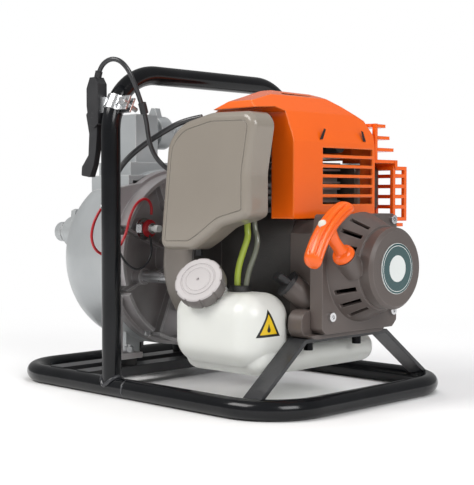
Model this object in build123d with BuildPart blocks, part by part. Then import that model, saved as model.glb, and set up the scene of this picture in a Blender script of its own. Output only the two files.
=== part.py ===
from build123d import *
import math
import os

# Portable petrol fire pump in a tube frame, in millimetres.
# +Z is up and the floor is z = 0. +X runs from the pump to the recoil starter.
# The origin lies on the floor, in the middle of the whole machine's outline.

os.makedirs("parts", exist_ok=True)

# ---------------------------------------------------------------- driving dimensions

TUBE_R = 10.0               # frame tube, 20 mm outside
TUBE_WALL = 1.5
LOOP_LENGTH = 420.0         # base loop, outside
LOOP_WIDTH = 296.0
LOOP_X = 11.5               # middle of the base loop
LOOP_BEND = 57.0
LOOP_SEAM_X = 9.5           # butt welds between the two halves of the loop
HOOP_X = -17.0              # plane of the carrying hoop
HOOP_HEIGHT = 344.0
HOOP_BEND = 61.0
SIDE_Y = LOOP_WIDTH / 2 - TUBE_R
LOOP_REAR_X = LOOP_X - LOOP_LENGTH / 2 + TUBE_R
LOOP_FRONT_X = LOOP_X + LOOP_LENGTH / 2 - TUBE_R

CRANK_Y = 0.0               # one axis carries impeller, flywheel and recoil starter
CRANK_Z = 137.0
SHAFT_R = 8.0
RUN_CLEARANCE = 0.05        # running fit, on the radius
GAP = 0.3                   # room between neighbours that move apart

PUMP_R = 100.0              # pump casing, outside
PUMP_WALL = 9.0
JOINT_X = -77.5             # joint face between pump cover and back plate
CROWN_X = -127.5            # the cover is a straight barrel up to here
DOME_X = -198.0             # tip of its domed front
KNUCKLE_R = 50.0
GASKET = 1.0
PLATE_FRONT_X = JOINT_X + GASKET
PLATE_BACK_X = -66.5
COVER_BOLT_PCR = 95.5
COVER_BOLT_ANGLES = (-60.0, -20.0, 20.0, 160.0, 200.0, 240.0)
POST_PCR = 63.0             # four spacers between pump and engine
POST_FIRST_ANGLE = 17.5
M6_R = 3.0
M6_HOLE_R = 3.3
M6_HEX_R = 5.8
M5_R = 2.5

TOWER = ((-139.0, -97.0), (-36.0, -3.0), (225.0, 300.0))
CHAMBER = ((-143.5, JOINT_X), (-63.0, 52.0), (CRANK_Z, 230.0))
HOSE_BORE_R = 9.0
HOSE_TIP_R = 12.0
OUTLET_X = -118.0
OUTLET_Z = 281.0
INLET_Y = -30.0
INLET_Z = 163.0
INLET_END_X = -243.5
INLET_SEAT_X = -211.0       # end of the inlet spigot, where the hose tail sits

BAR_X = (-65.0, -111.0)     # middles of the two cross bars
BAR_WIDTH = 22.0
BAR_TOP = 21.0
BAR_HEIGHT = 11.0
BAR_WALL = 2.5
MOUNT_HEIGHT = 8.0
PAD_TOP = BAR_TOP + MOUNT_HEIGHT + 6.0
PLATE_FOOT_Y = (CRANK_Y - 75.0, CRANK_Y + 75.0)
COVER_FOOT_Y = (CRANK_Y - 45.0, CRANK_Y + 45.0)
DRAIN_X = -140.0
FLAP_X = -174.0             # inlet check valve, just inside the dome
FLAP_HINGE_Z = INLET_Z + 14.5

BRIDGE_X = 177.0            # flat bar that bridges the loop under the engine
BRIDGE_WIDTH = 22.0
BRIDGE_THICK = 4.0
BRIDGE_TOP = 70.0
BRIDGE_BOLT_Y = (-52.0, 22.0)

FAN_COVER = (-2.0, 48.5)
FAN_COVER_R = 86.0
CRANKCASE_END = 150.0
REAR_CASE_END = 186.0
FLANGE_X = 201.5            # face that the recoil starter's screws sit on
CAP_FACE_X = 243.5
CAP_R = 39.5

FILTER_FACE_Y = -120.0
FILTER_BACK_Y = -92.0
TANK_TOP = 113.0
TANK_WALL = 2.5
SWITCH_Y = -57.5            # engine stop switch on the pump's back plate
SWITCH_Z = 171.0

# ---------------------------------------------------------------- helpers


def save(builder, name):
    """Label one finished sub-part and write it."""
    builder.part.label = name
    export_step(builder.part, f"parts/{name}.step")


def facing_x(x, y=0.0, z=0.0):
    """Plane that faces +X; its own x is +Y and its own y is +Z."""
    return Plane(origin=(x, y, z), x_dir=(0, 1, 0), z_dir=(1, 0, 0))


def facing_front(y, x=0.0, z=0.0):
    """Plane that faces -Y; its own x is +X and its own y is +Z."""
    return Plane(origin=(x, y, z), x_dir=(1, 0, 0), z_dir=(0, -1, 0))


CRANK_AXIS = Axis((0, CRANK_Y, CRANK_Z), (1, 0, 0))
CRANK_SIDE = facing_front(CRANK_Y, 0, CRANK_Z)


def block(x, y, z, mode=Mode.ADD):
    """Box between three pairs of limits."""
    with Locations(((x[0] + x[1]) / 2, (y[0] + y[1]) / 2, (z[0] + z[1]) / 2)):
        Box(x[1] - x[0], y[1] - y[0], z[1] - z[0], mode=mode)


def rod(start, end, radius, mode=Mode.ADD):
    """Round bar from start to end."""
    span = Vector(*end) - Vector(*start)
    with Locations(Plane(origin=start, z_dir=span)):
        Cylinder(radius, span.length, align=(Align.CENTER, Align.CENTER, Align.MIN), mode=mode)


def hexagon(start, end, radius, mode=Mode.ADD):
    """Six-sided bar from start to end; radius is to its corners."""
    span = Vector(*end) - Vector(*start)
    with BuildSketch(Plane(origin=start, z_dir=span)) as outline:
        RegularPolygon(radius, 6)
    extrude(outline.sketch, amount=span.length, mode=mode)


def turned(profile, plane=CRANK_SIDE, axis=CRANK_AXIS, mode=Mode.ADD):
    """Solid turned from a closed profile of (along, radius) points."""
    with BuildSketch(plane) as section:
        Polygon(*profile, align=None)
    revolve(section.sketch, axis=axis, mode=mode)


def around(count, radius, first=0.0):
    """Points (y, z) spaced round the crank axis."""
    for step in range(count):
        angle = math.radians(first + 360.0 * step / count)
        yield CRANK_Y + radius * math.cos(angle), CRANK_Z + radius * math.sin(angle)


def cover_bolts():
    """Points (y, z) of the cover screws; none falls in the chamber at the top."""
    for angle in COVER_BOLT_ANGLES:
        turn = math.radians(angle)
        yield CRANK_Y + COVER_BOLT_PCR * math.cos(turn), CRANK_Z + COVER_BOLT_PCR * math.sin(turn)


def bent_tube(points, bends, outer_r, bore_r=0.0):
    """Round tube along straight runs joined by tangent arcs."""
    with BuildPart() as tube:
        with BuildLine() as route:
            FilletPolyline(*points, radius=bends)
        with BuildSketch(Plane(origin=points[0], z_dir=Vector(*points[1]) - Vector(*points[0]))):
            Circle(outer_r)
            if bore_r:
                Circle(bore_r, mode=Mode.SUBTRACT)
        sweep(path=route.wires()[0])
    return tube


def easy_bends(points):
    """Largest tidy bend radius for each inner point of a route."""
    radii = []
    for before, here, after in zip(points, points[1:], points[2:]):
        run_in = Vector(*here) - Vector(*before)
        run_out = Vector(*after) - Vector(*here)
        half_turn = math.radians(run_in.get_angle(run_out)) / 2
        radii.append(0.45 * min(run_in.length, run_out.length) / math.tan(half_turn))
    return radii


def cable(points, radius, name):
    """Flexible line along a hand-laid route, with its bend radii printed."""
    radii = easy_bends(points)
    print(name, "bend radii", [round(r, 1) for r in radii])
    return bent_tube(points, radii, radius)


# ---------------------------------------------------------------- tube frame

REAR_HALF = [
    (LOOP_SEAM_X, -SIDE_Y, TUBE_R),
    (LOOP_REAR_X, -SIDE_Y, TUBE_R),
    (LOOP_REAR_X, SIDE_Y, TUBE_R),
    (LOOP_SEAM_X, SIDE_Y, TUBE_R),
]
FRONT_HALF = [(2 * LOOP_SEAM_X - x if x == LOOP_SEAM_X else LOOP_FRONT_X, y, z) for x, y, z in REAR_HALF]

base_loop_rear = bent_tube(REAR_HALF, LOOP_BEND, TUBE_R, TUBE_R - TUBE_WALL)
save(base_loop_rear, "base_loop_rear")
base_loop_front = bent_tube(FRONT_HALF, LOOP_BEND, TUBE_R, TUBE_R - TUBE_WALL)
save(base_loop_front, "base_loop_front")
rear_envelope = bent_tube(REAR_HALF, LOOP_BEND, TUBE_R).part
front_envelope = bent_tube(FRONT_HALF, LOOP_BEND, TUBE_R).part

# The hoop's legs are coped to sit on the loop's round sides.
hoop_top = HOOP_HEIGHT - TUBE_R
hoop_route = [
    (HOOP_X, -SIDE_Y, TUBE_R),
    (HOOP_X, -SIDE_Y, hoop_top),
    (HOOP_X, SIDE_Y, hoop_top),
    (HOOP_X, SIDE_Y, TUBE_R),
]
handle_hoop = bent_tube(hoop_route, HOOP_BEND, TUBE_R, TUBE_R - TUBE_WALL)
with handle_hoop:
    add(rear_envelope, mode=Mode.SUBTRACT)
save(handle_hoop, "handle_hoop")
hoop_envelope = bent_tube(hoop_route, HOOP_BEND, TUBE_R).part

# Flat bar, bent to a bridge, with its feet welded to the loop's front bends.
with BuildPart() as engine_bridge_bracket:
    with BuildSketch(facing_x(BRIDGE_X - BRIDGE_WIDTH / 2)):
        with BuildLine():
            Polyline((-136, 16), (-68, BRIDGE_TOP), (58, BRIDGE_TOP), (136, 14))
            offset(amount=BRIDGE_THICK, side=Side.RIGHT, kind=Kind.INTERSECTION)
        make_face()
    extrude(amount=BRIDGE_WIDTH)
    for y in BRIDGE_BOLT_Y:
        rod((BRIDGE_X, y, 60), (BRIDGE_X, y, 75), M6_HOLE_R, mode=Mode.SUBTRACT)
    add(front_envelope, mode=Mode.SUBTRACT)
save(engine_bridge_bracket, "engine_bridge_bracket")

# Two pressed channels across the loop carry the pump.
with BuildPart() as pump_cross_bars:
    for bar_x in BAR_X:
        half = BAR_WIDTH / 2
        block((bar_x - half, bar_x + half), (-SIDE_Y, SIDE_Y), (BAR_TOP - BAR_HEIGHT, BAR_TOP))
        half -= BAR_WALL
        block((bar_x - half, bar_x + half), (-SIDE_Y, SIDE_Y), (0, BAR_TOP - BAR_WALL), mode=Mode.SUBTRACT)
    for bar_x, feet in zip(BAR_X, (PLATE_FOOT_Y, COVER_FOOT_Y)):
        for y in feet:
            rod((bar_x, y, 0), (bar_x, y, BAR_TOP), M6_HOLE_R, mode=Mode.SUBTRACT)
    add(rear_envelope, mode=Mode.SUBTRACT)
save(pump_cross_bars, "pump_cross_bars")

MOUNT_POINTS = [(BAR_X[0], y) for y in PLATE_FOOT_Y] + [(BAR_X[1], y) for y in COVER_FOOT_Y]

with BuildPart() as rubber_mounts:
    for x, y in MOUNT_POINTS:
        rod((x, y, BAR_TOP), (x, y, BAR_TOP + MOUNT_HEIGHT), 9)
        rod((x, y, BAR_TOP), (x, y, BAR_TOP + MOUNT_HEIGHT), M6_HOLE_R, mode=Mode.SUBTRACT)
save(rubber_mounts, "rubber_mounts")

# M6 bolts: four hold the pump feet down, two hold the engine on the bridge.
with BuildPart() as mount_bolts:
    for x, y in MOUNT_POINTS:
        hexagon((x, y, BAR_TOP - BAR_WALL - 4), (x, y, BAR_TOP - BAR_WALL), M6_HEX_R)
        rod((x, y, BAR_TOP - BAR_WALL), (x, y, PAD_TOP + 9), M6_R)
    for y in BRIDGE_BOLT_Y:
        rod((BRIDGE_X, y, BRIDGE_TOP - 12.5), (BRIDGE_X, y, BRIDGE_TOP - BRIDGE_THICK), 4.6)
        rod((BRIDGE_X, y, BRIDGE_TOP - BRIDGE_THICK), (BRIDGE_X, y, BRIDGE_TOP + 12), M6_R)
with BuildPart() as foot_nuts:
    for x, y in MOUNT_POINTS:
        rod((x, y, PAD_TOP), (x, y, PAD_TOP + 1.2), 6.5)
        hexagon((x, y, PAD_TOP + 1.2), (x, y, PAD_TOP + 6.2), M6_HEX_R)
        rod((x, y, PAD_TOP), (x, y, PAD_TOP + 7), M6_R + RUN_CLEARANCE, mode=Mode.SUBTRACT)
with mount_bolts:
    add(foot_nuts.part)
save(mount_bolts, "mount_bolts")

# ---------------------------------------------------------------- pump


def dome(wall, mode):
    """Barrel closed by a knuckle and a shallow spherical crown towards -X, drawn in by wall."""
    bulge = CROWN_X - DOME_X
    crown_r = (bulge**2 + (PUMP_R - KNUCKLE_R) ** 2 - KNUCKLE_R**2) / (2 * (bulge - KNUCKLE_R))
    crown_x = DOME_X + crown_r
    lean = math.degrees(math.atan2(PUMP_R - KNUCKLE_R, CROWN_X - crown_x))
    with BuildSketch(CRANK_SIDE) as section:
        with BuildLine():
            knuckle = CenterArc((CROWN_X, PUMP_R - KNUCKLE_R), KNUCKLE_R - wall, 90, lean - 90)
            crown = CenterArc((crown_x, 0), crown_r - wall, lean, 180 - lean)
            Polyline(crown @ 1, (JOINT_X, 0), (JOINT_X, PUMP_R - wall), knuckle @ 0)
        make_face()
    revolve(section.sketch, axis=CRANK_AXIS, mode=mode)


def inset(box, amount):
    """Limits of a box, drawn in on every side."""
    return tuple((low + amount, high - amount) for low, high in box)


with BuildPart() as pump_front_cover:
    dome(0, Mode.ADD)
    block(*CHAMBER)
    tower_edges = (TOWER[0], TOWER[1], (CHAMBER[2][1] - 5, TOWER[2][1]))
    block(*tower_edges)
    block((-146, -90), (-50, 8), (CHAMBER[2][1] - 1, 245))
    rod((DOME_X + 20, INLET_Y, INLET_Z), (INLET_SEAT_X, INLET_Y, INLET_Z), 15)
    rod((OUTLET_X, TOWER[1][1] - 1, OUTLET_Z), (OUTLET_X, 16, OUTLET_Z), 15)
    rod((DRAIN_X, CRANK_Y, 60), (DRAIN_X, CRANK_Y, 34), 11)
    rod((OUTLET_X, 34, CHAMBER[2][1] - 6), (OUTLET_X, 34, CHAMBER[2][1] + 5), 13)
    for y in COVER_FOOT_Y:
        block((BAR_X[1] - 10, BAR_X[1] + 18), (y - 10, y + 10), (BAR_TOP + MOUNT_HEIGHT, PAD_TOP))
        block((BAR_X[1] + 11, BAR_X[1] + 18), (y - 10, y + 10), (BAR_TOP + MOUNT_HEIGHT, 90))
    # The water space is cut last, so that it runs through every wall that joins it.
    dome(PUMP_WALL, Mode.SUBTRACT)
    inner = inset(CHAMBER, 6)
    block((inner[0][0], JOINT_X), inner[1], (CRANK_Z, inner[2][1]), mode=Mode.SUBTRACT)
    block(*inset(TOWER, 5), mode=Mode.SUBTRACT)
    block(inset(TOWER, 5)[0], inset(TOWER, 5)[1], (210, 240), mode=Mode.SUBTRACT)
    rod((DOME_X + 5, INLET_Y, INLET_Z), (FLAP_X - GAP, INLET_Y, INLET_Z), HOSE_TIP_R)
    rod((FLAP_X - GAP, INLET_Y, INLET_Z), (INLET_SEAT_X, INLET_Y, INLET_Z), HOSE_BORE_R, mode=Mode.SUBTRACT)
    rod((OUTLET_X, TOWER[1][1] - 15, OUTLET_Z), (OUTLET_X, 16, OUTLET_Z), HOSE_BORE_R, mode=Mode.SUBTRACT)
    rod((DRAIN_X, CRANK_Y, 70), (DRAIN_X, CRANK_Y, 34), 6.5, mode=Mode.SUBTRACT)
    rod((OUTLET_X, 34, 215), (OUTLET_X, 34, CHAMBER[2][1] + 5), 8.5, mode=Mode.SUBTRACT)
    for x, y in MOUNT_POINTS[2:]:
        rod((x, y, BAR_TOP), (x, y, PAD_TOP), M6_HOLE_R, mode=Mode.SUBTRACT)
    for y, z in cover_bolts():
        rod((JOINT_X - 14, y, z), (JOINT_X, y, z), M5_R + RUN_CLEARANCE, mode=Mode.SUBTRACT)
save(pump_front_cover, "pump_front_cover")

with BuildPart() as pump_gasket:
    with BuildSketch(facing_x(JOINT_X, CRANK_Y, CRANK_Z)):
        Circle(PUMP_R)
        Circle(PUMP_R - PUMP_WALL, mode=Mode.SUBTRACT)
    extrude(amount=GASKET)
    for y, z in cover_bolts():
        rod((JOINT_X, y, z), (PLATE_FRONT_X, y, z), 2.8, mode=Mode.SUBTRACT)
save(pump_gasket, "pump_gasket")

# Square-shouldered back plate with a round register, ribs and two long legs.
with BuildPart() as pump_back_plate:
    with BuildSketch(facing_x(PLATE_FRONT_X)):
        with Locations((CRANK_Y, CRANK_Z)):
            Circle(PUMP_R)
        Polygon((-97, 172), (-97, 214), (-43, 223), (52, 230), (52, 137), (-40, 137), align=None)
    extrude(amount=PLATE_BACK_X - PLATE_FRONT_X)
    with BuildSketch(facing_x(PLATE_BACK_X, CRANK_Y, CRANK_Z)):
        Circle(96)
        Circle(92, mode=Mode.SUBTRACT)
    extrude(amount=18)
    with BuildSketch(facing_x(PLATE_BACK_X, CRANK_Y, CRANK_Z)):
        Circle(34)
    extrude(amount=22, taper=12)
    for step in range(8):
        with BuildSketch(facing_x(PLATE_BACK_X, CRANK_Y, CRANK_Z)) as rib:
            with Locations(Rotation(0, 0, 45 * step + 22.5)):
                with Locations((60, 0)):
                    Rectangle(60, 3)
        extrude(rib.sketch, amount=9, mode=Mode.ADD)
    for y, z in around(4, POST_PCR, POST_FIRST_ANGLE):
        rod((PLATE_BACK_X, y, z), (PLATE_BACK_X + 12, y, z), 9)
    for side, y in zip((-1, 1), PLATE_FOOT_Y):
        outer = y + side * 25
        block((-72, -60), sorted((outer, outer - side * 13)), (BAR_TOP + MOUNT_HEIGHT, 130))
        block((-76, -54), sorted((outer, y - side * 11)), (BAR_TOP + MOUNT_HEIGHT, PAD_TOP))
        rod((BAR_X[0], y, 20), (BAR_X[0], y, PAD_TOP), M6_HOLE_R, mode=Mode.SUBTRACT)
    for y, z in around(4, POST_PCR, POST_FIRST_ANGLE):
        rod((PLATE_FRONT_X + 3, y, z), (PLATE_BACK_X + 12, y, z), M6_R + RUN_CLEARANCE, mode=Mode.SUBTRACT)
    for y, z in cover_bolts():
        rod((PLATE_FRONT_X, y, z), (PLATE_BACK_X + 18, y, z), 2.8, mode=Mode.SUBTRACT)
        rod((PLATE_BACK_X, y, z), (PLATE_BACK_X + 18, y, z), 5.5, mode=Mode.SUBTRACT)
    rod((-80, CRANK_Y, CRANK_Z), (-40, CRANK_Y, CRANK_Z), SHAFT_R + 1, mode=Mode.SUBTRACT)
    rod((-80, CRANK_Y, CRANK_Z), (-62, CRANK_Y, CRANK_Z), 14, mode=Mode.SUBTRACT)
    # Threaded hole for the stop switch, with a spot face for its washer.
    rod((-80, SWITCH_Y, SWITCH_Z), (-40, SWITCH_Y, SWITCH_Z), 6, mode=Mode.SUBTRACT)
    rod((PLATE_BACK_X, SWITCH_Y, SWITCH_Z), (-45, SWITCH_Y, SWITCH_Z), 12.5, mode=Mode.SUBTRACT)
save(pump_back_plate, "pump_back_plate")

with BuildPart() as mechanical_seal:
    turned([(-78, 9), (-78, 11), (-74, 11), (-74, 14), (-62, 14), (-62, 9)])
save(mechanical_seal, "mechanical_seal")

# Cover screws and the long spacer bolts that hold pump and engine together.
with BuildPart() as pump_bolts:
    for y, z in cover_bolts():
        rod((JOINT_X - 13, y, z), (PLATE_BACK_X, y, z), M5_R)
        hexagon((PLATE_BACK_X, y, z), (PLATE_BACK_X + 4, y, z), 4.6)
    for y, z in around(4, POST_PCR, POST_FIRST_ANGLE):
        rod((PLATE_FRONT_X + 4, y, z), (FAN_COVER[0] + 4, y, z), M6_R)
        hexagon((FAN_COVER[0] + 4, y, z), (FAN_COVER[0] + 8, y, z), M6_HEX_R)
save(pump_bolts, "pump_bolts")

# The inner volute is screwed to the back plate and surrounds the impeller.
with BuildPart() as volute_casing:
    turned([(PLATE_FRONT_X, 56), (PLATE_FRONT_X, 62), (-112, 62), (-116, 58), (-116, 16), (-112, 16),
            (-112, 56)])
    block((-106, -84), (CRANK_Y + 28, CRANK_Y + 44), (CRANK_Z, 214))
    block((-103, -87), (CRANK_Y + 31, CRANK_Y + 41), (CRANK_Z + 30, 214), mode=Mode.SUBTRACT)
    turned([(-111, 0), (-111, 55), (PLATE_FRONT_X, 55), (PLATE_FRONT_X, 0)], mode=Mode.SUBTRACT)
save(volute_casing, "volute_casing")

with BuildPart() as impeller:
    turned([(-84, SHAFT_R), (-84, 48), (-88, 48), (-94, 22), (-104, 16), (-104, SHAFT_R)])
    for step in range(6):
        with BuildSketch(facing_x(-103, CRANK_Y, CRANK_Z)) as vane:
            with Locations(Rotation(0, 0, 60 * step)):
                with Locations((20, 0)):
                    SlotCenterPoint((12, 6), (24, 14), 4)
        extrude(vane.sketch, amount=16)
    rod((-110, CRANK_Y, CRANK_Z), (-80, CRANK_Y, CRANK_Z), SHAFT_R, mode=Mode.SUBTRACT)
save(impeller, "impeller")

# Rubber flap that keeps the pump primed; it swings over the inlet on the bead along its top edge.
with BuildPart() as check_valve_flap:
    rod((FLAP_X, INLET_Y, INLET_Z), (FLAP_X + 3, INLET_Y, INLET_Z), 13)
    block((FLAP_X, FLAP_X + 3), (INLET_Y - 6, INLET_Y + 6), (INLET_Z + 10, FLAP_HINGE_Z))
    rod((FLAP_X + 1.5, INLET_Y - 6, FLAP_HINGE_Z), (FLAP_X + 1.5, INLET_Y + 6, FLAP_HINGE_Z), 1.5)
save(check_valve_flap, "check_valve_flap")


def hose_tail(start, end):
    """Barbed tail with a collar for the union nut at its inner end."""
    direction = (Vector(*end) - Vector(*start)).normalized()

    def at(distance):
        return tuple(Vector(*start) + direction * distance)

    length = (Vector(*end) - Vector(*start)).length
    rod(at(0), at(4), 15)
    rod(at(0), at(length), HOSE_TIP_R)
    for ring in range(2):
        rod(at(15 + 6 * ring), at(18 + 6 * ring), HOSE_TIP_R + 0.8)
    rod(at(0), at(length), HOSE_BORE_R, mode=Mode.SUBTRACT)


with BuildPart() as inlet_hose_tail:
    hose_tail((INLET_SEAT_X, INLET_Y, INLET_Z), (INLET_END_X, INLET_Y, INLET_Z))
save(inlet_hose_tail, "inlet_hose_tail")

with BuildPart() as outlet_hose_tail:
    hose_tail((OUTLET_X, 16, OUTLET_Z), (OUTLET_X, 54, OUTLET_Z))
save(outlet_hose_tail, "outlet_hose_tail")


def union_nut(start, end, lug):
    """Capped nut that turns round a tail's collar, with one pointed lug for a spanner."""
    direction = (Vector(*end) - Vector(*start)).normalized()

    def at(distance):
        return tuple(Vector(*start) + direction * distance)

    rod(at(-10), at(8), 19.5)
    with BuildSketch(Plane(origin=at(-10), x_dir=lug, z_dir=direction)) as ear:
        Polygon((17, -9), (17, 9), (29, 3), (29, -3), align=None)
    extrude(ear.sketch, amount=8)
    rod(at(-10), at(4 + GAP), 15 + GAP, mode=Mode.SUBTRACT)
    rod(at(-10), at(8), HOSE_TIP_R + GAP, mode=Mode.SUBTRACT)


with BuildPart() as inlet_union_nut:
    union_nut((INLET_SEAT_X, INLET_Y, INLET_Z), (INLET_END_X, INLET_Y, INLET_Z), (0, -0.35, 1))
save(inlet_union_nut, "inlet_union_nut")

with BuildPart() as outlet_union_nut:
    union_nut((OUTLET_X, 16, OUTLET_Z), (OUTLET_X, 54, OUTLET_Z), (0.1, 0, 1))
save(outlet_union_nut, "outlet_union_nut")

PRIMING_SEAT = CHAMBER[2][1] + 5
with BuildPart() as priming_plug:
    rod((OUTLET_X, 34, PRIMING_SEAT - 10), (OUTLET_X, 34, PRIMING_SEAT), 8.5 - RUN_CLEARANCE)
    rod((OUTLET_X, 34, PRIMING_SEAT), (OUTLET_X, 34, PRIMING_SEAT + 5), 13)
    block((OUTLET_X - 11, OUTLET_X + 11), (32, 36), (PRIMING_SEAT + 4, PRIMING_SEAT + 10))
save(priming_plug, "priming_plug")

with BuildPart() as drain_plug:
    rod((DRAIN_X, CRANK_Y, 34), (DRAIN_X, CRANK_Y, 46), 6.5 - RUN_CLEARANCE)
    hexagon((DRAIN_X, CRANK_Y, 27), (DRAIN_X, CRANK_Y, 34), 9)
save(drain_plug, "drain_plug")

with BuildPart() as spacer_tubes:
    for y, z in around(4, POST_PCR, POST_FIRST_ANGLE):
        rod((PLATE_BACK_X + 12, y, z), (FAN_COVER[0], y, z), 6)
        rod((PLATE_BACK_X + 12, y, z), (FAN_COVER[0], y, z), M6_HOLE_R, mode=Mode.SUBTRACT)
save(spacer_tubes, "spacer_tubes")

# ---------------------------------------------------------------- engine

cover_inner_r = FAN_COVER_R - 3
with BuildPart() as fan_cover:
    rod((FAN_COVER[0], CRANK_Y, CRANK_Z), (FAN_COVER[1], CRANK_Y, CRANK_Z), FAN_COVER_R)
    fillet(edges().filter_by(GeomType.CIRCLE).group_by(Axis.X)[0], radius=12)
    turned([(2, 0), (2, 70), (13, cover_inner_r), (FAN_COVER[1], cover_inner_r), (FAN_COVER[1], 0)],
           mode=Mode.SUBTRACT)
    for y, z in around(4, POST_PCR, POST_FIRST_ANGLE):
        rod((FAN_COVER[0], y, z), (FAN_COVER[0] + 4, y, z), M6_HOLE_R, mode=Mode.SUBTRACT)
    rod((FAN_COVER[0], CRANK_Y, CRANK_Z), (4, CRANK_Y, CRANK_Z), 26, mode=Mode.SUBTRACT)
    for y, z in around(8, 42, 40.5):
        rod((FAN_COVER[0], y, z), (4, y, z), 7, mode=Mode.SUBTRACT)
    rod((27, CRANK_Y, 215), (27, CRANK_Y, 225), 5, mode=Mode.SUBTRACT)
save(fan_cover, "fan_cover")

with BuildPart() as flywheel:
    rod((20, CRANK_Y, CRANK_Z), (32, CRANK_Y, CRANK_Z), 69)
    rod((14, CRANK_Y, CRANK_Z), (40, CRANK_Y, CRANK_Z), 17)
    for step in range(14):
        with BuildSketch(facing_x(13, CRANK_Y, CRANK_Z)) as blade:
            with Locations(Rotation(0, 0, 360 / 14 * step)):
                with Locations((48, 0)):
                    Rectangle(36, 2.4, rotation=18)
        extrude(blade.sketch, amount=8)
    rod((10, CRANK_Y, CRANK_Z), (45, CRANK_Y, CRANK_Z), SHAFT_R, mode=Mode.SUBTRACT)
save(flywheel, "flywheel")

with BuildPart() as ignition_coil:
    block((20, 34), (CRANK_Y - 16, CRANK_Y + 16), (CRANK_Z + 72, CRANK_Z + 78))
save(ignition_coil, "ignition_coil")

# One-piece shaft with its web and crank pin; it runs from the impeller to the starter cup.
WEB = (100.0, 110.0)
with BuildPart() as crankshaft:
    rod((-112, CRANK_Y, CRANK_Z), (WEB[0], CRANK_Y, CRANK_Z), SHAFT_R)
    rod((-110, CRANK_Y, CRANK_Z), (-114, CRANK_Y, CRANK_Z), 11)
    rod((WEB[0], CRANK_Y, CRANK_Z), (WEB[1], CRANK_Y, CRANK_Z), 27)
    block(WEB, (CRANK_Y - 30, CRANK_Y + 30), (CRANK_Z, CRANK_Z + 30), mode=Mode.SUBTRACT)
    block(WEB, (CRANK_Y - 9, CRANK_Y + 9), (CRANK_Z - 5, CRANK_Z + 24))
    rod((WEB[0] - 14, CRANK_Y, CRANK_Z + 15), (WEB[0], CRANK_Y, CRANK_Z + 15), 6)
    rod((WEB[0] - 24, CRANK_Y, CRANK_Z), (WEB[0] - 14, CRANK_Y, CRANK_Z), 24)
    rod((WEB[1], CRANK_Y, CRANK_Z), (190, CRANK_Y, CRANK_Z), SHAFT_R)
    pin_room = ((WEB[0] - 14, WEB[0]), (CRANK_Y - 20, CRANK_Y + 20), (CRANK_Z - 20, CRANK_Z + 9))
    block(*pin_room, mode=Mode.SUBTRACT)
save(crankshaft, "crankshaft")

BEARING_R = 17.5
BEARINGS = ((56.0, 66.0), (136.0, 146.0))
with BuildPart() as crank_bearings:
    for start, end in BEARINGS:
        rod((start, CRANK_Y, CRANK_Z), (end, CRANK_Y, CRANK_Z), BEARING_R)
        rod((start, CRANK_Y, CRANK_Z), (end, CRANK_Y, CRANK_Z), SHAFT_R + RUN_CLEARANCE, mode=Mode.SUBTRACT)
save(crank_bearings, "crank_bearings")

with BuildPart() as crankcase:
    with BuildSketch(facing_x(FAN_COVER[1])):
        with Locations((CRANK_Y, CRANK_Z)):
            Circle(FAN_COVER_R)
    extrude(amount=3)
    with BuildSketch(facing_x(FAN_COVER[1])):
        with Locations((CRANK_Y, 131)):
            RectangleRounded(92, 118, 20)
    extrude(amount=CRANKCASE_END - FAN_COVER[1])
    rod((66, CRANK_Y, CRANK_Z), (136, CRANK_Y, CRANK_Z), 40, mode=Mode.SUBTRACT)
    for start, end in BEARINGS:
        rod((start, CRANK_Y, CRANK_Z), (end, CRANK_Y, CRANK_Z), BEARING_R + 0.02, mode=Mode.SUBTRACT)
    rod((45, CRANK_Y, CRANK_Z), (152, CRANK_Y, CRANK_Z), SHAFT_R + 1, mode=Mode.SUBTRACT)
    rod((93, CRANK_Y, CRANK_Z), (93, CRANK_Y, 195), 21, mode=Mode.SUBTRACT)
save(crankcase, "crankcase")

# Rear case in grey casting, with the engine foot and the slanted oil filler neck.
NECK_BASE = Vector(172, -44, 104)
NECK_LENGTH = 26.0
NECK_WAY = Vector(-0.45, -0.64, 0.62).normalized()


def on_neck(distance):
    """Point along the oil filler's axis."""
    return tuple(NECK_BASE + NECK_WAY * distance)


with BuildPart() as rear_case:
    with BuildSketch(facing_x(CRANKCASE_END)):
        Polygon((-48, 84), (-48, 170), (-38, 183), (38, 183), (48, 170), (48, 84), (38, 76), (-38, 76),
                align=None)
    extrude(amount=REAR_CASE_END - CRANKCASE_END)
    with BuildSketch(facing_x(168.5)):
        with Locations((-13, (BRIDGE_TOP + 97) / 2)):
            RectangleRounded(118, 97 - BRIDGE_TOP, 11)
    extrude(amount=REAR_CASE_END + 10 - 168.5)
    rod(on_neck(0), on_neck(NECK_LENGTH), 12.5)
    rod(on_neck(8), on_neck(NECK_LENGTH), 9, mode=Mode.SUBTRACT)
    block((REAR_CASE_END, 200), (-100, 60), (74, 100), mode=Mode.SUBTRACT)
    block((120, CRANKCASE_END), (-48, 48), (70, 192), mode=Mode.SUBTRACT)
    rod((150, CRANK_Y, CRANK_Z), (187, CRANK_Y, CRANK_Z), 28, mode=Mode.SUBTRACT)
    for y in BRIDGE_BOLT_Y:
        bolt_end = BRIDGE_TOP + 13
        rod((BRIDGE_X, y, BRIDGE_TOP), (BRIDGE_X, y, bolt_end), M6_R + RUN_CLEARANCE, mode=Mode.SUBTRACT)
save(rear_case, "rear_case")

with BuildPart() as oil_cap:
    rod(on_neck(NECK_LENGTH - 12), on_neck(NECK_LENGTH), 9 - RUN_CLEARANCE)
    rod(on_neck(NECK_LENGTH), on_neck(NECK_LENGTH + 4), 13.5)
    with BuildSketch(Plane(origin=on_neck(NECK_LENGTH + 4), x_dir=(0.8, -0.5, 0.1), z_dir=NECK_WAY)) as wing:
        SlotOverall(24, 7)
    extrude(wing.sketch, amount=12)
save(oil_cap, "oil_cap")

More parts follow.
